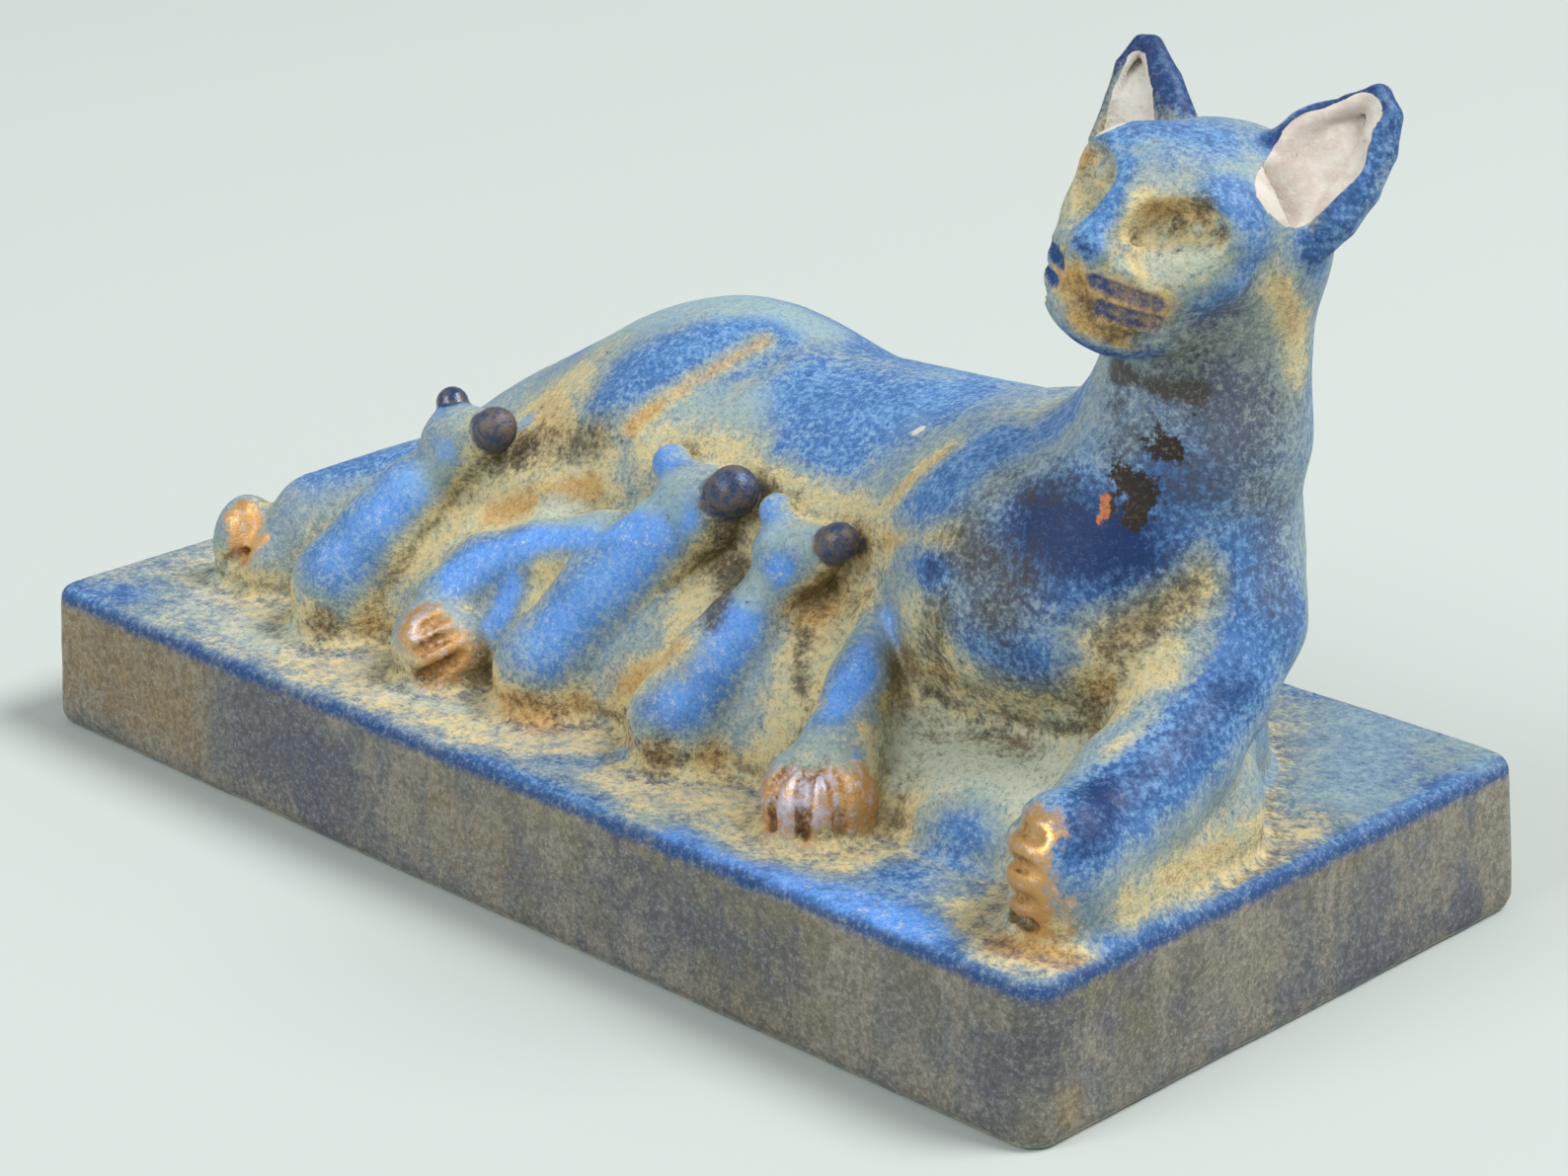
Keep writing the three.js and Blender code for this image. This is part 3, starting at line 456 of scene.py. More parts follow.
def skin(clay):
    """The zero surface: a point for each cell that it crosses, and four-sided faces."""
    inside = clay.depth < 0
    count = np.zeros([n - 1 for n in inside.shape], np.int8)
    corners = list(np.ndindex(2, 2, 2))
    for corner in corners:
        count += inside[tuple(slice(c, n - 1 + c) for c, n in zip(corner, inside.shape))]
    crossed = (count > 0) & (count < len(corners))
    cells = np.argwhere(crossed)
    number = np.full(crossed.shape, -1, np.int32)
    number[crossed] = np.arange(len(cells))

    values = {corner: clay.depth[tuple((cells + corner).T)] for corner in corners}
    sums, hits = np.zeros((len(cells), 3)), np.zeros(len(cells))
    for near in corners:
        for i in range(3):
            if near[i]:
                continue
            far = tuple(1 if i == n else near[n] for n in range(3))
            passes = (values[near] < 0) != (values[far] < 0)
            drop = np.where(passes, values[near] - values[far], 1)
            place = np.tile(np.array(near, float), (len(cells), 1))
            place[:, i] = values[near] / drop
            sums[passes] += place[passes]
            hits[passes] += 1
    index = cells + sums / hits[:, None]
    points = np.stack([np.interp(index[:, i], np.arange(len(places)), places)
                       for i, places in enumerate(clay.planes)], 1)

    faces = []
    for i in range(3):
        side, other = (i + 1) % 3, (i + 2) % 3
        here = tuple(slice(0, -1) if n == i else slice(None) for n in range(3))
        there = tuple(slice(1, None) if n == i else slice(None) for n in range(3))
        edges = np.argwhere(inside[here] != inside[there])
        starts_inside = inside[here][tuple(edges.T)]
        ring = []
        for back, down in ((1, 1), (0, 1), (0, 0), (1, 0)):
            cell = edges.copy()
            cell[:, side] -= back
            cell[:, other] -= down
            ring.append(number[tuple(cell.T)])
        ring = np.stack(ring, 1)
        ring[~starts_inside] = ring[~starts_inside][:, ::-1]
        faces.append(ring)
    return points, np.concatenate(faces)


def settled(clay, points, most=0.4):
    """The points moved onto the zero surface, in two steps of at most so much."""
    for _ in range(2):
        slope = slopes(clay, points)
        steep = np.maximum((slope ** 2).sum(1, keepdims=True), 0.1)
        points = points - np.clip(sampled(clay, points), -most, most)[:, None] * slope / steep
    return points


LATTICE = 64


def clouds(points, size, seed):
    """Smooth random values from -1 to 1 that change over a length of size."""
    cells = points / size
    firsts = np.floor(cells).astype(int)
    shares = cells - firsts
    shares = shares * shares * (3 - 2 * shares)
    lattice = np.random.default_rng(seed).uniform(-1, 1, (LATTICE, LATTICE, LATTICE))
    total = 0
    for corner in np.ndindex(2, 2, 2):
        weight = np.prod(np.where(corner, shares, 1 - shares), axis=1)
        total = total + weight * lattice[tuple(((firsts + corner) % LATTICE).T)]
    return total


def planes(*runs):
    """Places from low to high by a step, for each run."""
    return np.concatenate([np.arange(*run) for run in runs])


def fine_planes():
    """The grid is finest about the head and coarse inside the plinth."""
    widen = 1
    x = planes((-93, 50, 0.5 * widen), (50, 93, 0.36 * widen))
    y = planes((-46, -18, 0.45 * widen), (-18, 17, 0.4 * widen), (17, 46.5, 0.8))
    z = planes((-21, -1, 1.6), (-1, 50, 0.45 * widen), (50, 92, 0.36 * widen))
    return x, y, z


COARSE = 1.3


def coarse_planes():
    return planes((-93, 95, COARSE)), planes((-47, 48, COARSE)), planes((-21, 96, COARSE))


# How far the skin strays from even, and over what length
UNEVEN = [(0.1, 11), (0.05, 4), (0.035, 1.6)]

fine = Clay(fine_planes())
figure(fine)
wide = Clay(coarse_planes(), 12)
figure(wide)
points, faces = skin(fine)
points = settled(fine, points)
normals = slopes(fine, points)
normals /= np.maximum(np.linalg.norm(normals, axis=1, keepdims=True), 1e-6)
uneven = sum(far * clouds(points, size, seed) for seed, (far, size) in enumerate(UNEVEN, 1))
points = points + uneven[:, None] * normals

# Parts to metres, about the middle of the plinth's top
cad_low, cad_high = (np.array(corner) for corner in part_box("statuette"))
PART = (cad_high[0] - cad_low[0]) / (PLINTH_LENGTH + 2 * PLINTH_FLARE)
TOP_MIDDLE = (cad_low + cad_high) / 2
TOP_MIDDLE[2] = cad_low[2] + PLINTH_HEIGHT * PART


def new_mesh(name, places, rings):
    mesh = bpy.data.meshes.new(name)
    mesh.vertices.add(len(places))
    mesh.vertices.foreach_set("co", np.asarray(places, np.float32).ravel())
    mesh.loops.add(rings.size)
    mesh.loops.foreach_set("vertex_index", np.asarray(rings, np.int32).ravel())
    mesh.polygons.add(len(rings))
    mesh.polygons.foreach_set("loop_start", np.arange(0, rings.size, rings.shape[1], dtype=np.int32))
    mesh.update(calc_edges=True)
    mesh.validate()
    return mesh


MOST_TRIANGLES = 188000


def thinned(mesh):
    """The mesh with its flattest triangles merged until MOST_TRIANGLES are left."""
    holder = bpy.data.objects.new("thinning", mesh)
    bpy.context.scene.collection.objects.link(holder)
    modifier = holder.modifiers.new("thin", "DECIMATE")
    modifier.ratio = min(1, MOST_TRIANGLES / (2 * len(mesh.polygons)))
    bpy.context.view_layer.update()
    result = bpy.data.meshes.new_from_object(holder.evaluated_get(bpy.context.evaluated_depsgraph_get()))
    bpy.data.objects.remove(holder)
    return result


cat_mesh = thinned(new_mesh("cat", np.clip(points * PART + TOP_MIDDLE, cad_low, cad_high), faces))
cat_mesh.polygons.foreach_set("use_smooth", np.ones(len(cat_mesh.polygons), bool))
cat_mesh.name = "statuette_paint"
cat = bpy.data.objects.new("painted_statuette", cat_mesh)
bpy.context.scene.collection.objects.link(cat)

# Thinning can move a point past the solid's bounds by a hair, so they are kept to them once more
HAIR = 1e-7
skin_points = np.zeros(len(cat_mesh.vertices) * 3, np.float32)
cat_mesh.vertices.foreach_get("co", skin_points)
skin_points = np.clip(skin_points.reshape(-1, 3), cad_low + HAIR, cad_high - HAIR)
cat_mesh.vertices.foreach_set("co", skin_points.astype(np.float32).ravel())
cat_mesh.update()
skin_points = (skin_points - TOP_MIDDLE) / PART
skin_normals = slopes(fine, skin_points)
skin_normals /= np.maximum(np.linalg.norm(skin_normals, axis=1, keepdims=True), 1e-6)


# Where the paints lie, told by soft strokes in parts
def stroke(a, b, radius, strength=1.0):
    """How strongly a stroke from a to b covers each point."""
    a, b = vec(*a), vec(*b)
    run = b - a
    share = np.clip(((skin_points - a) @ run) / max(run @ run, 1e-6), 0, 1)
    off = np.linalg.norm(skin_points - a - share[:, None] * run, axis=1) / radius
    return strength * np.exp(-off * off)


def dab(place, radius, strength=1.0):
    return stroke(place, place, radius, strength)


def brushed(*runs):
    """Strokes through the points of each run, with its radius and strength at the end."""
    cover = np.zeros(len(skin_points))
    for *places, radius, strength in runs:
        for a, b in zip(places, places[1:] or places):
            cover = np.maximum(cover, stroke(a, b, radius, strength))
    return cover


def ramp01(value, low, high):
    share = np.clip((value - low) / (high - low), 0, 1)
    return share * share * (3 - 2 * share)


def freedom(clay, reach):
    """From 0 in a narrow hollow to 1 in the open, as seen from a reach above each point."""
    return np.clip(sampled(clay, skin_points + reach * skin_normals) / reach, 0, 1)


# Near and far views with their shares: a point is raised where all of them are free
VIEWS = [(fine, 1.2, 0.25), (wide, 3.5, 0.3), (wide, 7, 0.25), (wide, 11, 0.2)]
raised = sum(share * freedom(clay, reach) for clay, reach, share in VIEWS)
crest = freedom(fine, 0.9)
height = skin_points[:, 2]
# The plinth's flat top, its sides and the arris between them
level = ramp01(skin_normals[:, 2], 0.9, 0.99) * np.exp(-(height / 1.2) ** 2)
side = ramp01(-height, 0.4, 1.6) * ramp01(1 - np.abs(skin_normals[:, 2]), 0.25, 0.6)
arris = 0.9 * np.exp(-((height + 1.1) / 1.7) ** 2)

# Places that two paints share: the thigh's crease, below it, the groin, the elbow and a paw's top
CREASE = [(-10, -8, 31.6), (-6, -1, 36.7), (-2, 8, 41)]
BELOW_CREASE = [(-32, -3, 30), (-22, -8.7, 29)]
GROIN = [(-28, -16, 18), (-14, -11, 23.8)]
ELBOW = [(73, -13.4, 26), (80, -6, 33)]
PAW_TOP = [(84, -26, 15), (85, -31, 12)]

# The strong blue on the swells
BLUE = brushed(
    # the thigh, the hind foot's leg, the arch of the upper leg
    ((-17, -6, 33), (-7, 0, 39.4), (-2, 8, 42.5), 5, 1), ((-64, -15, 15), (-50, -9, 21), 4, 0.7),
    # the back and the flank
    ((11, 3, 39), (24, 1.6, 38.5), (30, 7, 41), 8, 0.8), ((16, -6, 33), (24, -5, 34), 5, 0.8),
    ((44, -12.6, 34), (48, -7, 41), (57, -2, 47), 5, 0.8), ((40, -10.5, 31), (45, -12, 35), 3, 0.8),
    # the breast and the shoulder
    ((65, -13, 37), (74.5, -10, 36), 8, 1), ((75, -9, 38), (79, -6, 44), 6, 0.8),
    ((50, -17, 30.5), 3, 0.9), ((58, -18, 23), (69, -15.6, 22.3), 4, 0.7),
    ((82.3, -1, 36), (85.8, 0, 27), 6, 0.9),
    # the neck
    ((71, -8, 57), (80, -5, 54), (80, -2, 46), 6, 0.5),
    # the hidden side
    ((-52, 22, 20), (-20, 28, 22), (20, 26, 26), 9, 0.6),
    ((-30, 8, 36), (0, 20, 36), (30, 16, 36), 8, 0.6), ((62, 16, 36), (70, 12, 48), (73, 8, 60), 8, 0.7),
    ((72, 6, 76), 6, 0.6),
    # the left foreleg and the top of its paw
    ((85, -3, 25), (85.6, -8, 21), (85.6, -15, 18), (85, -24, 15), 5, 1), (*PAW_TOP, 4.5, 1),
    # the plinth's top
    ((-86, -43, 0), (-79, -38, 0), 6, 0.8), ((-58, -30, 0), 3, 0.6),
    ((6, -37, 0), (13, -31, 1), 3.4, 0.9), ((0, -43, 0), (20, -43, 0), 3, 0.8),
    ((60, -33, 0), (62, -24, 4), 6, 1), ((58, -40, 0), (76, -40, 0), 5, 1),
    ((90, -34, 0), (90.6, -6, 0), (90, 17, 0), (89, 40, 0), 3.4, 1.1),
    ((80, 20, 0), (72, 40, 0), 12, 0.8), ((-20, 40, 0), (60, 41, 0), 4, 0.6),
    ((-84, 10, 0), (-84, 35, 0), 6, 0.6),
)
# On her face: the forehead, the nose, the temples and, apart, the lips' grooves
BLUE = np.maximum(BLUE, brushed(
    ((66, -6, 81), (71, -3, 82.5), (76, -1, 82), 5, 0.7),
    ((71, -9, 79.5), (73.5, -15, 75.4), (73.4, -18.4, 72.3), 1.8, 0.9),
    ((84, -6, 77), (85, -6, 70.5), (82, -8, 65), 3.4, 0.9),
    ((77, -12.6, 60.5), (70, -15, 60.5), 2.4, 0.7),
))
LIPS = brushed(*(
    (*(on_face(x * side, y, z) for x, y, z in line), 1.15, 1.3)
    for line in MOUTH for side in (1, -1)
))

# The brightest blue: the upper hind leg's arch, the right foreleg's wedge and the kittens
BRIGHT = brushed(
    ((-25, -25, 12.5), (-20, -22, 16.5), (-13, -19, 20), (2, -19, 24), 3.2, 1),
    ((-17.7, -22, 12.7), (-18.6, -24.6, 7), 2.6, 0.9), ((-31.4, -7, 27.4), 2, 1),
    ((42.7, -25, 13.6), (43.1, -20, 16.6), (40.4, -14.5, 20), 3.2, 1), ((46.5, -22, 12), 1.6, 0.8),
    ((-74, -24, 12), 1.5, 0.6), ((44, -27, 10.6), (49, -27, 9), 1, 0.8),
    ((34, -41, 0), (53, -42, 0), (72, -41, 0), 4.5, 1),
)

# How far a knob's paint reaches, in its radii, and how dark each kitten's far and near one is
KNOB_REACH = 1.8
KNOB_DARKNESS = [(1, 1), (0.5, 1), (0.5, 1)]

# On each kitten: the rubbed spots of its haunches, and bright blue on its back, brow and far ear
RUBBED = [(0.3, -1, -0.35), (-0.6, -0.9, -0.1), (1, -0.3, -0.4)]
HAUNCHES = []
for kitten in KITTENS:
    (rump, thickness), _, (shoulder, _) = kitten["body"]
    crown, roundness = kitten["head"]
    far_knob, far_radius = kitten["knobs"][0]
    HAUNCHES += [vec(*rump) + thickness * unit(away) for away in RUBBED]
    lift = 0.55 * thickness * unit((0.45, -0.75, 0.6))
    BRIGHT = np.maximum(BRIGHT, brushed(
        (vec(*rump) + lift + (0.6, 0.8, 1.6), vec(*shoulder) + lift, 4.4, 1),
        (vec(*crown) + roundness * unit((0.5, -0.8, 0.1)), 3, 0.9),
        (far_knob, KNOB_REACH * far_radius, 0.8),
    ))
BLUE = np.maximum(BLUE, BRIGHT)
for rim in EARS[0]["rims"] + EARS[1]["rims"][:1]:
    BLUE = np.maximum(BLUE, brushed((*(joint for joint, _ in rim), 4, 1)))

# The bare ground: sand and ochre, left or rubbed free in the hollows and about the feet
GROUND = brushed(
    *((place, 3.2, 0.9) for place in HAUNCHES), (*CREASE, 1.8, 1), (*BELOW_CREASE, 4, 1),
    ((-30, 0, 33), (-20, -5, 33), 3.5, 0.9), ((-30, 4, 36), (-24, 2, 36), 4, 0.6),
    ((-48, -8, 22), (-40, -8, 25), 3, 0.7), ((-30, -13.6, 23.5), (-16, -9.3, 27.6), 6, 1), (*GROIN, 4, 1),
    ((-6, -8, 30), (8, -6, 31), 4, 0.8), ((8, -7, 30), (18, -9, 30), 3.5, 0.7),
    ((42, -6, 40), (37, -10, 32.7), 2.4, 0.9), ((37, -11.5, 29.4), (51, -15.3, 33.6), 2.2, 0.8),
    ((17, -8, 31), (34, -10, 29), 3.5, 0.9), ((47, -18, 24), (55, -18, 18), 4, 0.8),
    ((50, -14.4, 14.4), (68, -13.7, 16), 3.5, 0.9), (*ELBOW, 4, 1), ((71, -14, 21), (79, -11, 26), 4, 1),
    ((48, -20, 8), (62, -18, 8), (72, -18, 9), 7, 1), ((81, -21.5, 17.6), (82.7, -7, 27.4), 1.5, 0.8),
    ((34, -24, 7.2), (40.5, -25.2, 12.6), (47, -24.4, 11), 1.6, 1),
    ((-41, -12, 20), (-32, -12, 25), 4, 0.8), ((-36, -22, 12), (-33, -18, 17), 3.5, 0.9),
    ((29.6, -12, 21), (33, -20, 12), (34, -27, 3), 5, 1),
    ((17, -25.7, 14), (8, -26, 7), (6, -30, 1), 4, 1), ((13, -14, 25), (12, -20, 16), 4, 1),
    ((-12, -20, 14), (-10, -25, 6), 4, 0.9),
    # the hidden side
    ((30, 18, 34), (44, 22, 24), 3.5, 0.8), ((-46, 12, 27), (-60, 14, 18), 4, 0.8),
    ((70, 9, 60), (66, 12, 52), 3, 0.6),
    # rings about the feet, on the plinth's top
    ((-46, -34, 0), (-30, -36, 0), (-10, -34, 0), (4, -33, 0), 4.5, 1),
    ((16, -33, 0), (30, -35, 0), (44, -37, 0), 4.2, 1), ((52, -34, 0), (52, -24, 4), 3.5, 0.9),
    ((72, -34, 0), (80, -39, 0), (90, -34, 0), 2.6, 1),
    ((88, -27, 3), (87.4, -15, 3), (87, -2, 3), (84, 12, 2), 3, 1),
    ((-68, -30, 0), (-56, -34, 0), 6, 0.6),
    # the face: the sockets, the cheeks, the muzzle, and behind the ear
    ((76, -11, 75), (81, -9, 73.5), 3, 1), ((79.4, -12, 70.6), (83, -9, 71.6), 3.6, 1),
    ((63, -7, 77), (64.2, -8.6, 75.3), 3.4, 1),
    ((68.8, -16.3, 68.4), (74, -16.6, 66.6), (80, -13.5, 66), 3.2, 0.8),
    ((71.7, -16.5, 63.5), (76, -14.7, 62.5), 2.6, 0.8),
    ((85.4, 0, 66.5), (84.4, 4, 61), (84.2, 6, 56), 3, 0.9),
)
# The warmer part of the ground
OCHRE = brushed(
    *((place, 3, 0.7) for place in HAUNCHES), (*CREASE, 1.6, 1), (*BELOW_CREASE, 4, 0.6),
    (*GROIN, 2.6, 1), ((-8, -31, 2), (-2, -31, 1), 3, 0.9), ((5, -25, 6), (17, -25, 14), 3, 0.9),
    ((28, -13, 21), (31, -17, 15), 3.5, 0.8), ((43, -6, 40), (38, -9, 34), 2.4, 0.8),
    ((38, -11.5, 29.4), (50, -15, 33), 2.4, 0.7), (*ELBOW, 4, 0.6), ((72, -13.6, 21.6), 3, 0.6),
    ((33, -13, 27), (30, -20, 14), 4, 0.5),
    ((68.8, -16.5, 68), (74, -16.6, 66), (80, -13.5, 65), 3.4, 1.2),
    ((70, -16.5, 64), (76, -15, 62), 3, 1.1), ((75, -13, 78), (80, -9.6, 77), 1.6, 0.7),
    ((48.5, -21.3, 6.8), 1.8, 1), ((80, -38, 0), (88.5, -36, 0), 2.5, 1), ((51, -16, 17), 3, 0.7),
    ((86, -8, 4), (88, -20, 4), 2, 0.6), ((75.5, -10.8, 75.6), (81, -8.6, 74.6), 2, 0.8),
    ((62.2, -6, 78.4), 2, 0.9), ((77, -15.6, 62.6), (79.6, -12.5, 61.8), 1.3, 1),
    ((85.4, 0, 66.5), (84.4, 4, 61), 2.6, 0.7),
)
# Grime and painted shade: in the sockets under the brows, under the kittens' heads and about their feet,
# along the belly and the chest's lower edge, by the hind paw, under the jaw and below the throat
BROWN = brushed(
    *((place, 2.8, 0.15) for place in HAUNCHES), (on_face(7.5, 11.5, 8.4), 1.7, 1),
    (on_face(10, 10.4, 5.9), 1.3, 0.9), (on_face(4.9, 12.6, 5.9), 1.3, 0.8),
    (on_face(-7.5, 11.5, 8.4), 1.7, 0.6), ((14.3, -15, 27), (14.1, -13.5, 20), (18, -20, 18), 3, 1),
    ((17, -18, 24), (19.6, -22.6, 17.9), 2.4, 0.9), ((29.6, -17.2, 17), (33.5, -21.6, 11.9), 1.5, 0.8),
    ((-30, -13, 25), (-16, -9, 29), 3.6, 0.7),
    ((47, -14.6, 13.4), (56, -14.4, 11.3), (69, -13.8, 14.7), 1.1, 0.9),
    ((50, -15.5, 16), (68, -15, 17.5), 2.6, 0.5), ((52, -18, 25.5), (50, -16, 20), 3.5, 0.7),
    ((54, -16, 34), (62, -16, 31), (60, -17, 27), 5.5, 0.7), ((55, -11, 40), (63, -10, 41), 5, 0.5),
    ((60, -16.5, 19), (70, -15, 19), 4, 0.6), ((70, -8, 46), (74, -9, 50), 4, 0.5),
    ((76, -15, 63), (72, -16.6, 66), 3, 0.6), ((78.6, -6.7, 36), (82, -4, 33), 3, 0.4),
    ((-44, -33, 2.6), 4, 0.6), ((-6, -32, 2.4), (-1, -30, 3), 3, 0.5), ((19, -31.5, 2), 4, 0.7),
    ((28, -12, 23), 2.4, 0.6), ((67.5, -6, 55), (78.8, -5.4, 54.3), 1.5, 1.4), ((69, -7.5, 51.4), 3, 0.5),
    ((74, -12.6, 27), (79, -7, 32), 4, 0.65), ((79, -7, 60), (72, -10, 57), 4, 0.5),
    ((-66, -22, 6), 2.5, 0.7),
)
# Two flaked spots and an orange one below the throat
LOSS = brushed(
    ((75.2, -7.8, 48.6), (77, -7, 47.4), 1.6, 1),
    ((71.5, -10.4, 44.5), (75, -9.4, 43), (74, -9.6, 40), 2, 1), ((71.2, -10.6, 41), 1.4, 0.9),
)
ORANGE = brushed(((70.3, -11, 42.3), (70.4, -11, 39.4), 1.1, 1))
# Pale grey-green ground and thin blue
PALE = brushed(
    ((-30, 6, 38), (-8, 12, 43.3), (0, 15, 41.7), 5, 0.9), ((-18, -14.7, 20), (4, -16, 28), 3.6, 1),
    ((5, -15.5, 29.5), (7, -17, 27), 3.2, 0.7), ((24, -15, 27), (28, -14, 26.5), 3, 0.7),
    ((23, -19, 21), 2.6, 0.8), ((50, -18, 7.6), (62, -17, 9), (72, -19, 10), 7, 1.1),
    ((-80, -20, 0), (-70, -36, 0), (-50, -36, 0), 7, 0.8), ((52, -10, 40), (60, -8, 43), 5, 0.35),
    ((82, 20, 0), (70, 40, 0), (87, 39, 0), 8, 0.8), ((-26, -36, 0), (-14, -34, 0), 3, 0.8),
    ((-4, -4, 36), (4, -2, 36), 5, 0.7), ((-38, -21, 21), (-35, -17, 24), 3, 0.5), ((30, 2, 39), 3, 0.4),
    ((34, -36, 0), (40, -40, 0), 3, 0.5), ((79.4, -12, 70.6), (82.5, -9.6, 70.6), 3.4, 0.9),
    ((64.2, -9, 74.6), 2.4, 0.3), ((72, -6, 81), 2, 0.5), ((83, 0, 79), 3, 0.4), ((45, -33, 6), 6, 1),
    ((-22, -32, 8), 4, 0.6), (on_face(7.5, 11.6, 5.6), 1.4, 0.9), (on_face(-7.5, 11.6, 5.6), 1.4, 0.9),
)
# Violet on the neck and the hidden side, and the deepest blue, which on the breast's lower, down-facing part
# is partly painted shade
VIOLET = brushed(
    ((76, 0, 46), (80, 0, 52), (80, -5, 60), 9, 1), ((82, -6, 62), (84, -3, 66), 4, 0.9),
    ((80, -2, 50), (84, 0, 42), 6, 0.7), ((84, 4, 40), (84, 2, 30), 5, 0.6),
    ((70, -5, 82), (77, -2, 81), 5, 0.35), ((60, 18, 30), (40, 28, 14), 8, 0.8),
    ((-50, 22, 16), (-30, 30, 12), 7, 0.7),
)
DEEP = brushed(
    ((64, -13, 37), (72, -11, 37), 8, 1.2), ((72, -10, 40), (79, -6, 44), 6, 0.8),
    ((50, -17, 30.5), 2.6, 0.9), ((66, -16, 30), (76, -12, 30), 6, 0.6),
    ((60, -17, 23), (69, -15.6, 22), 4, 0.5), ((86, -6, 22), (85, -24, 15), 5, 0.75),
    (*PAW_TOP, 4.5, 1.1), ((77, -13, 60), (70, -15, 60), 2.4, 0.8), ((73.4, -18.4, 72.3), 2, 0.8),
    ((84, -4, 79), (86, -3, 72), 2.5, 0.4), ((71, -3, 82), (78, -2, 81), 4, 0.3),
    ((84, -5, 74), (84, -6, 68), 3, 0.4), ((-22, 28, 24), (10, 26, 26), 8, 0.7),
    ((68, 12, 50), (60, 14, 42), 6, 0.6),
    *((*(joint for joint, _ in rim), 3, 1.2) for ear in EARS for rim in ear["rims"]),
)
# Colours of the plinth's sides
SIDE_OCHRE = brushed(
    ((-90, -44, -6), (-62, -44, -10), 11, 0.9), ((-90, -20, -8), 10, 0.8), ((91, -39, -15), 3.4, 1),
    ((-10, -44, -8), (3, -44, -10), 8, 0.5), ((60, -44, -6), 7, 0.4),
    ((60, 44, -8), (-20, 44, -10), 9, 0.6),
)
SIDE_BLUE = brushed(
    ((-44, -44, -8), (-28, -44, -12), 9, 1), ((24, -44, -7), (50, -44, -9), 9, 0.6),
    ((84, -44, -11), (91, -40, -6), 5, 0.8), ((91, -2, -15), (91, 31, -17), 4, 0.8),
    ((-91, 20, -10), 12, 0.6),
)

# The pale chip on her back, and the gilding on each paw
CHIP = dab((31.9, 0.2, 38.5), 0.8, 1.3)
GILT = brushed(
    ((-70.3, -25, 10), (-68.7, -25.5, 5.8), 3.6, 1), ((-66, -25, 7.5), 2, 0.8),
    ((-24, -32, 8), (-21, -31, 5), 5, 1), ((-22, -33, 2), 3.5, 0.8),
    ((41, -34, 4), (46, -34, 6), (49.5, -28, 5), 5, 1), ((46, -33, 1.5), 3.6, 0.9),
    ((81.6, -34.4, 12.2), (82, -36, 9), (82, -35.6, 4.4), 4.6, 1), ((86, -34, 6), (86, -34, 3), 2.4, 0.6),
)
SILVER_SPREAD = 0.1


def ear_silver():
    """The hollow in front of each ear, out to its rims."""
    cover = np.zeros(len(skin_points))
    for ear in EARS:
        facing = unit(ear["facing"])
        for (a, r0), (b, r1) in zip(ear["hollow"], ear["hollow"][1:]):
            a, b = vec(*a), vec(*b)
            share = np.clip(((skin_points - a) @ (b - a)) / ((b - a) @ (b - a)), 0, 1)
            off = skin_points - a - share[:, None] * (b - a)
            ahead = off @ facing
            across = np.linalg.norm(off - ahead[:, None] * facing, axis=1)
            inside = ramp01(r0 + (r1 - r0) * share + SILVER_SPREAD - across, -0.25, 0.25)
            inside = inside * ramp01(ahead, -1.6, -1.2) * ramp01(skin_normals @ facing, 0.05, 0.35)
            cover = np.maximum(cover, inside)
    return cover


def dark_knobs():
    cover = np.zeros(len(skin_points))
    for kitten, darknesses in zip(KITTENS, KNOB_DARKNESS):
        for (knob, radius), darkness in zip(kitten["knobs"], darknesses):
            cover = np.maximum(cover, dab(knob, KNOB_REACH * radius, darkness))
    return cover


PAINT = {
    "raised": raised, "crest": crest, "level": level, "side": side, "line": np.maximum(arris, LIPS),
    "blue": BLUE, "bright": BRIGHT, "violet": VIOLET, "deep": DEEP,
    "ground": GROUND, "ochre": OCHRE, "pale": PALE, "brown": BROWN, "loss": LOSS, "orange": ORANGE,
    "side_ochre": SIDE_OCHRE, "side_blue": SIDE_BLUE,
    "silver": np.maximum(ear_silver(), CHIP), "gilt": GILT, "knob": dark_knobs(),
}

for name, values in PAINT.items():
    cat_mesh.attributes.new(name, "FLOAT", "POINT").data.foreach_set("value", np.asarray(values, np.float32))


# Colours as 0 to 255
COLOURS = {
    # the ground coat, whose umber is partly painted shade in the hollows
    "sand": (206, 188, 140), "grey sand": (182, 180, 150), "ochre": (192, 154, 94),
    "grey-green": (178, 188, 174), "umber": (112, 96, 62),
    # the blue coat, with its painted glints
    "sky": (96, 142, 190), "cobalt": (62, 108, 166), "bright": (94, 150, 226), "glint_specks": (190, 204, 216),
    "thin blue": (140, 168, 180), "navy": (14, 48, 100), "violet": (88, 92, 104),
    "blue-green": (120, 144, 146), "line": (32, 72, 126),
    # dirt with painted shade, and losses
    "grime_and_shade": (72, 64, 48), "flaked": (44, 32, 26), "orange": (190, 116, 70),
    "dark speck": (36, 46, 60), "pale speck": (214, 220, 206),
    # the plinth's sides
    "taupe": (134, 128, 115), "grey taupe": (108, 110, 110), "olive": (120, 112, 84), "slate": (92, 92, 108),
    "blue stain": (80, 86, 102), "ochre stain": (138, 118, 84), "dark stain": (84, 80, 74),
    # the kittens' ears, gilding and silver
    "blue knob": (40, 62, 100), "brown knob": (106, 94, 86),
    "gold": (200, 156, 100), "worn gold and reflection": (200, 192, 202), "gold's groove": (104, 76, 54),
    "silver": (206, 200, 191), "rosy silver": (194, 180, 170), "tarnish": (140, 126, 120),
    # the floor
    "floor": (184, 191, 188), "light floor": (187, 194, 191),
}


def shade(name):
    """A colour as the shader takes it."""
    linear = [c / 255 / 12.92 if c <= 10 else ((c / 255 + 0.055) / 1.055) ** 2.4 for c in COLOURS[name]]
    return (*linear, 1)


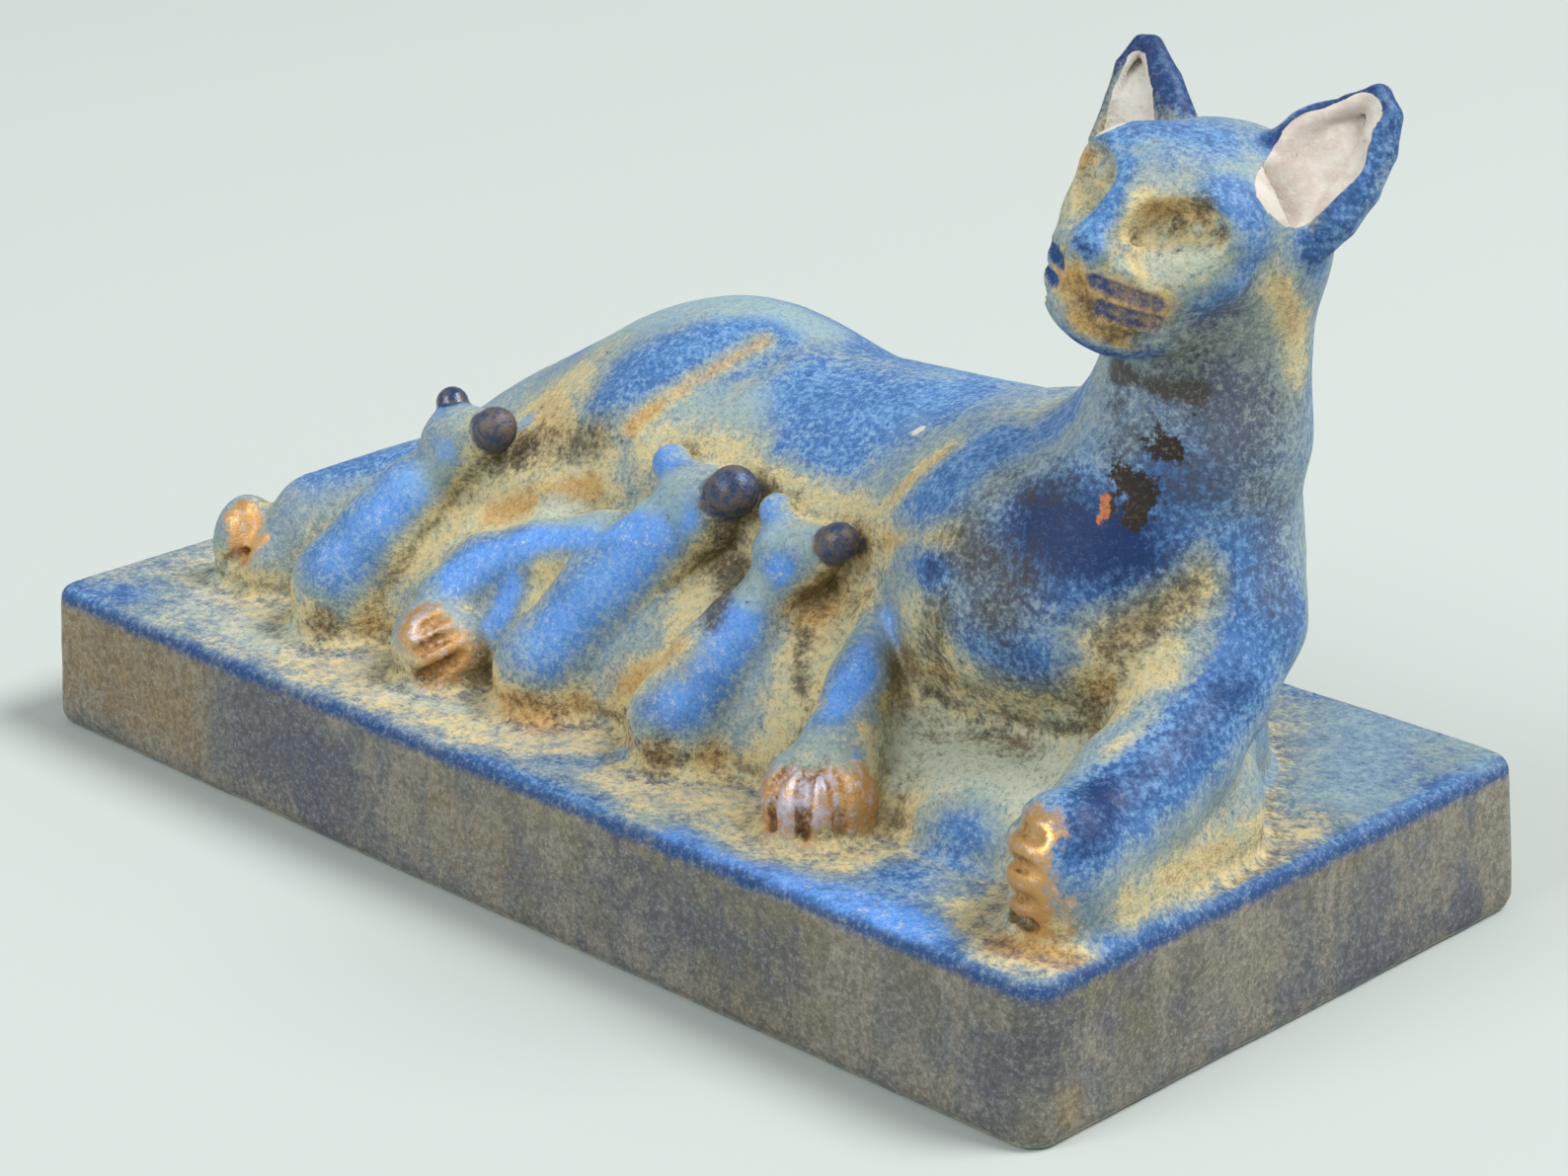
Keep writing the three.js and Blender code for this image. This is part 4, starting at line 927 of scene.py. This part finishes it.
class Graph:
    """A material's nodes, each told as a call. Values in use again go by name."""

    def __init__(self, name):
        self.material = bpy.data.materials.new(name)
        self.material.use_nodes = True
        self.nodes, self.links = self.material.node_tree.nodes, self.material.node_tree.links
        self.shader = self.nodes["Principled BSDF"]
        self.place = self.node("TexCoord", {}).outputs["Object"]
        self.named = {}

    def node(self, kind, inputs, **settings):
        made = self.nodes.new("ShaderNode" + kind)
        for key, value in settings.items():
            setattr(made, key, value)
        for key, value in inputs.items():
            self.put(made.inputs[key], value)
        return made

    def put(self, socket, value):
        if isinstance(value, bpy.types.NodeSocket):
            self.links.new(value, socket)
        else:
            socket.default_value = value

    def math(self, operation, first, *others):
        for other in others:
            first = self.node("Math", {0: first, 1: other}, operation=operation).outputs[0]
        return first

    def times(self, *terms):
        return self.math("MULTIPLY", *terms)

    def invert(self, value):
        return self.math("SUBTRACT", 1.0, value)

    def weigh(self, *more, **weights):
        """The sum of each named value times its weight, and of any more values."""
        values = self.named
        terms = [values[n] if weight == 1 else self.times(values[n], weight) for n, weight in weights.items()]
        return self.math("ADD", *terms, *more)

    def noise(self, size, detail, roughness=0.6, distortion=0.0, place=None):
        """Noise from 0 to 1 whose lumps are about size millimetres."""
        return self.node("TexNoise", {
            "Vector": place or self.place, "Scale": 1000 / size, "Detail": detail,
            "Roughness": roughness, "Distortion": distortion,
        }).outputs["Fac"]

    def ramp(self, value, low, high, bottom=0.0, top=1.0):
        ends = {"From Min": low, "From Max": high, "To Min": bottom, "To Max": top}
        made = self.node("MapRange", {"Value": value, **ends}, interpolation_type="SMOOTHSTEP")
        return made.outputs["Result"]

    def mix(self, share, first, second):
        made = self.node("Mix", {}, data_type="RGBA")
        self.put(made.inputs[0], share)
        self.put(made.inputs[6], first)
        self.put(made.inputs[7], second)
        return made.outputs[2]

    def over(self, coat, value, low, high, colour, most=1.0):
        """The coat with a colour laid over it, up to most, as value passes from low to high."""
        return self.mix(self.ramp(value, low, high, 0.0, most), coat, shade(colour))


# The painted finish, coat by coat
def ground_coat(g):
    """Sand, pale grey-green and ochre, with umber in the hollows that is partly dirt and partly painted
    shade.
    """
    coat = g.over(shade("sand"), g.weigh(patch=1, fleck=0.7), 0.6, 1.1, "grey sand")
    ochre = g.weigh(0.08, ochre=0.8, sunk=0.55, fleck=0.2, patch=0.5, grain=0.2)
    coat = g.over(coat, ochre, 0.8, 1.45, "ochre")
    coat = g.over(coat, g.weigh(pale=1, fleck=0.5), 0.5, 1.1, "grey-green", 0.8)
    # umber where the surface is sunk: partly dirt, partly painted shade
    return g.over(coat, g.weigh(sunk=0.9, fleck=0.4, grain=0.35), 0.58, 1.15, "umber", 0.85)


def blue_coat(g):
    """Cobalt in its clouds and sky between, thin, deep or violet where the strokes say so."""
    coat = g.over(shade("sky"), g.weigh(cloud=1, speckle=1), 1.0, 1.55, "cobalt")
    coat = g.over(coat, g.weigh(bright=1, speckle=0.5), 0.7, 1.3, "bright")
    # rare pale specks on the bright blue: painted glints
    glint_specks = g.times(g.named["bright"], g.ramp(g.weigh(fleck=1, grit=1), 1.25, 1.5))
    coat = g.mix(glint_specks, coat, shade("glint_specks"))
    thin = g.weigh(0.36, pale=0.8, broad=0.8, fleck=0.15, grain=0.3, blue=-0.4)
    coat = g.over(coat, thin, 0.8, 1.4, "thin blue", 0.9)
    # navy where the deep strokes lie, partly painted shade on the breast
    coat = g.over(coat, g.weigh(deep=1, speckle=0.5), 0.75, 1.5, "navy")
    return g.over(coat, g.weigh(violet=1, speckle=0.6), 0.7, 1.4, "violet", 0.9)


def blue_cover(g):
    """How far the blue hides the ground: most on the swells, with rough edges."""
    rough_edge = g.weigh(cloud=0.35, patch=0.4, fleck=0.2, grain=0.3, grit=0.2)
    return g.ramp(g.weigh(rough_edge, raised=0.9, blue=0.6, ground=-0.8, level=-0.25), 1.02, 1.92)


def soiled_and_shaded(g, coat):
    """The coat with its grime and painted shade, the flaked spots and the orange one."""
    # brown grime, with painted shade in the sockets and under the heads, chest and jaw
    coat = g.over(coat, g.weigh(brown=1, patch=0.38, fleck=0.38, grain=0.38), 0.7, 1.45, "grime_and_shade", 0.85)
    coat = g.over(coat, g.weigh(loss=1, fleck=0.9, grain=0.4), 1.0, 1.3, "flaked")
    return g.over(coat, g.weigh(orange=1, fleck=0.9), 1.0, 1.25, "orange")


def side_coat(g):
    """The plinth's sides: streaked taupe with blue, ochre and dark stains."""
    stretched = g.node("Mapping", {"Vector": g.place, "Scale": (1.0, 1.0, 0.45)}).outputs[0]
    g.named["streak"] = g.noise(9, 5, 0.6, 0.6, stretched)
    stain = g.weigh(cloud=0.5, patch=0.5, fleck=0.5)
    coat = g.over(shade("taupe"), g.named["streak"], 0.42, 0.6, "grey taupe")
    coat = g.over(coat, g.weigh(broad=1, streak=0.5), 0.76, 0.92, "olive", 0.7)
    coat = g.over(coat, g.weigh(cloud=1, streak=0.5), 0.8, 0.98, "slate", 0.6)
    coat = g.over(coat, g.weigh(stain, side_blue=0.7), 0.8, 1.4, "blue stain", 0.75)
    coat = g.over(coat, g.weigh(stain, side_ochre=0.7), 0.95, 1.45, "ochre stain", 0.85)
    return g.over(coat, g.weigh(fleck=1, grain=1), 0.85, 1.35, "dark stain", 0.3)


def specked(g, coat):
    """The coat with fine dark and pale specks, fewer pale ones where it is deep blue."""
    dust = g.weigh(grit=1, grain=1)
    coat = g.over(coat, dust, 1.0, 1.45, "dark speck", 0.3)
    pale = g.times(g.ramp(dust, 0.5, 0.95, 0.16, 0.0), g.ramp(g.named["deep"], 0.2, 0.8, 1.0, 0.3))
    return g.mix(pale, coat, shade("pale speck"))


def gold_leaf(g):
    """Gold, silvery on the toes' crests, partly worn and partly a painted reflection, and brown in their
    clefts.
    """
    silvery = g.weigh(-0.22, pale=0.45, crest=0.4, patch=0.6, fleck=0.5, grain=0.4)
    # silvery-lavender on the crests: wear and painted reflection
    leaf = g.over(shade("gold"), silvery, 0.95, 1.35, "worn gold and reflection")
    return g.mix(g.ramp(g.weigh(crest=1, fleck=0.4, grain=0.3), 0.6, 1.1), shade("gold's groove"), leaf)


def silver_leaf(g):
    leaf = g.over(shade("silver"), g.weigh(cloud=1, fleck=0.5), 0.6, 1.0, "rosy silver")
    return g.over(leaf, g.weigh(fleck=1, grain=1), 1.4, 1.7, "tarnish", 0.5)


def painted_finish():
    g = Graph("painted_stone")
    g.named = {name: g.node("Attribute", {}, attribute_name=name).outputs["Fac"] for name in PAINT}
    g.named.update(broad=g.noise(38, 3), cloud=g.noise(14, 4), patch=g.noise(5, 4, 0.65))
    for name, size in (("fleck", 2.0), ("grain", 0.8), ("grit", 0.36)):
        g.named[name] = g.ramp(g.noise(size, 4, 0.7), 0.2, 0.8)
    g.named["sunk"] = g.invert(g.named["raised"])
    g.named["speckle"] = g.weigh(patch=0.7, fleck=0.3, grain=0.7)

    cover = blue_cover(g)
    coat = g.mix(cover, ground_coat(g), blue_coat(g))
    coat = g.mix(g.times(cover, g.invert(cover), 2.0), coat, shade("blue-green"))
    coat = soiled_and_shaded(g, coat)
    coat = g.mix(g.named["side"], coat, side_coat(g))
    coat = g.over(coat, g.weigh(line=1, patch=0.5, fleck=0.15, grain=0.15), 0.8, 1.4, "line")
    coat = specked(g, coat)

    dark = g.over(shade("blue knob"), g.weigh(patch=1, fleck=1), 0.7, 1.3, "brown knob")
    knob = g.ramp(g.weigh(knob=1, patch=0.5), 0.8, 0.95, 0.0, 0.95)
    gold = g.ramp(g.weigh(gilt=1, fleck=0.5, patch=0.3), 0.85, 1.15)
    silver = g.ramp(g.weigh(silver=1, fleck=0.4), 0.55, 0.75)
    for share, top_coat in ((knob, dark), (gold, gold_leaf(g)), (silver, silver_leaf(g))):
        coat = g.mix(share, coat, top_coat)

    bare = g.invert(cover)
    rough = g.weigh(g.ramp(cover, 0, 1, 0.74, 0.4), g.times(knob, -0.32), g.times(gold, -0.16), fleck=0.2)
    sandy = g.times(bare, g.invert(g.named["level"]), g.weigh(fleck=0.22, grain=0.14))
    lumps = g.weigh(sandy, patch=0.25, fleck=0.06, grain=0.035, grit=0.02)
    bump = g.node("Bump", {"Strength": 0.6, "Distance": 0.0012, "Height": lumps})
    g.put(g.shader.inputs["Base Color"], coat)
    g.put(g.shader.inputs["Specular IOR Level"], 0.3)
    g.put(g.shader.inputs["Metallic"], g.math("ADD", g.times(gold, 0.75), g.times(knob, 0.4)))
    g.put(g.shader.inputs["Roughness"], rough)
    g.put(g.shader.inputs["Normal"], bump.outputs[0])
    return g.material


cat_mesh.materials.clear()
cat_mesh.materials.append(painted_finish())
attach(cat, "root")
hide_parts("statuette")


# The stage: one pale sweep of floor, soft light and the photograph's camera
def pale_floor():
    g = Graph("pale_floor")
    g.put(g.shader.inputs["Base Color"], g.mix(g.noise(500, 1), shade("floor"), shade("light floor")))
    g.put(g.shader.inputs["Roughness"], 0.9)
    g.put(g.shader.inputs["Specular IOR Level"], 0.1)
    return g.material


HALF_FLOOR = 4.0
around = ((-1, -1), (1, -1), (1, 1), (-1, 1))
floor_corners = [(x * HALF_FLOOR, y * HALF_FLOOR, cad_low[2]) for x, y in around]
floor_mesh = new_mesh("floor", floor_corners, np.array([[0, 1, 2, 3]]))
floor_mesh.materials.append(pale_floor())
floor = bpy.data.objects.new("floor", floor_mesh)
bpy.context.scene.collection.objects.link(floor)


def soft_light(name, place, size, watts, colour):
    lamp = bpy.data.lights.new(name, "AREA")
    lamp.shape = "DISK"
    lamp.size, lamp.energy, lamp.color = size, watts, colour
    holder = bpy.data.objects.new(name, lamp)
    bpy.context.scene.collection.objects.link(holder)
    holder.location = place
    holder.rotation_euler = (-Vector(place)).to_track_quat("-Z", "Y").to_euler()


ROOM_LIGHT = 0.5
soft_light("key", (1.35, 0.95, 2.4), 1.4, 84, (1.0, 0.99, 0.97))
soft_light("fill", (-0.5, -2.4, 1.8), 1.6, 42, (0.97, 0.99, 1.0))
world = bpy.data.worlds.new("soft_room")
world.use_nodes = True
world.node_tree.nodes["Background"].inputs["Color"].default_value = (0.97, 1.0, 1.0, 1)
world.node_tree.nodes["Background"].inputs["Strength"].default_value = ROOM_LIGHT
scene = bpy.context.scene
scene.world = world
scene.view_settings.view_transform = "Standard"

CAMERA_TURN = radians(45.71)
CAMERA_RISE = radians(20.43)
CAMERA_ROLL = radians(-1.03)
CAMERA_DISTANCE = 0.499482
CAMERA_TARGET = Vector((-0.00135, 0.009783, 0.027))
CAMERA_LENS = 88.954
CAMERA_FILM = 36
back = Vector((sin(CAMERA_TURN) * cos(CAMERA_RISE), -cos(CAMERA_TURN) * cos(CAMERA_RISE), sin(CAMERA_RISE)))
sideways = Vector((cos(CAMERA_TURN), sin(CAMERA_TURN), 0))
upright = back.cross(sideways)
right = cos(CAMERA_ROLL) * sideways + sin(CAMERA_ROLL) * upright
up = back.cross(right)
eye = bpy.data.cameras.new("photograph")
eye.lens, eye.sensor_width, eye.clip_start = CAMERA_LENS, CAMERA_FILM, 0.01
viewer = bpy.data.objects.new("photograph", eye)
scene.collection.objects.link(viewer)
facing = Matrix((right, up, back)).transposed().to_4x4()
viewer.matrix_world = Matrix.Translation(CAMERA_TARGET + back * CAMERA_DISTANCE) @ facing
scene.camera = viewer
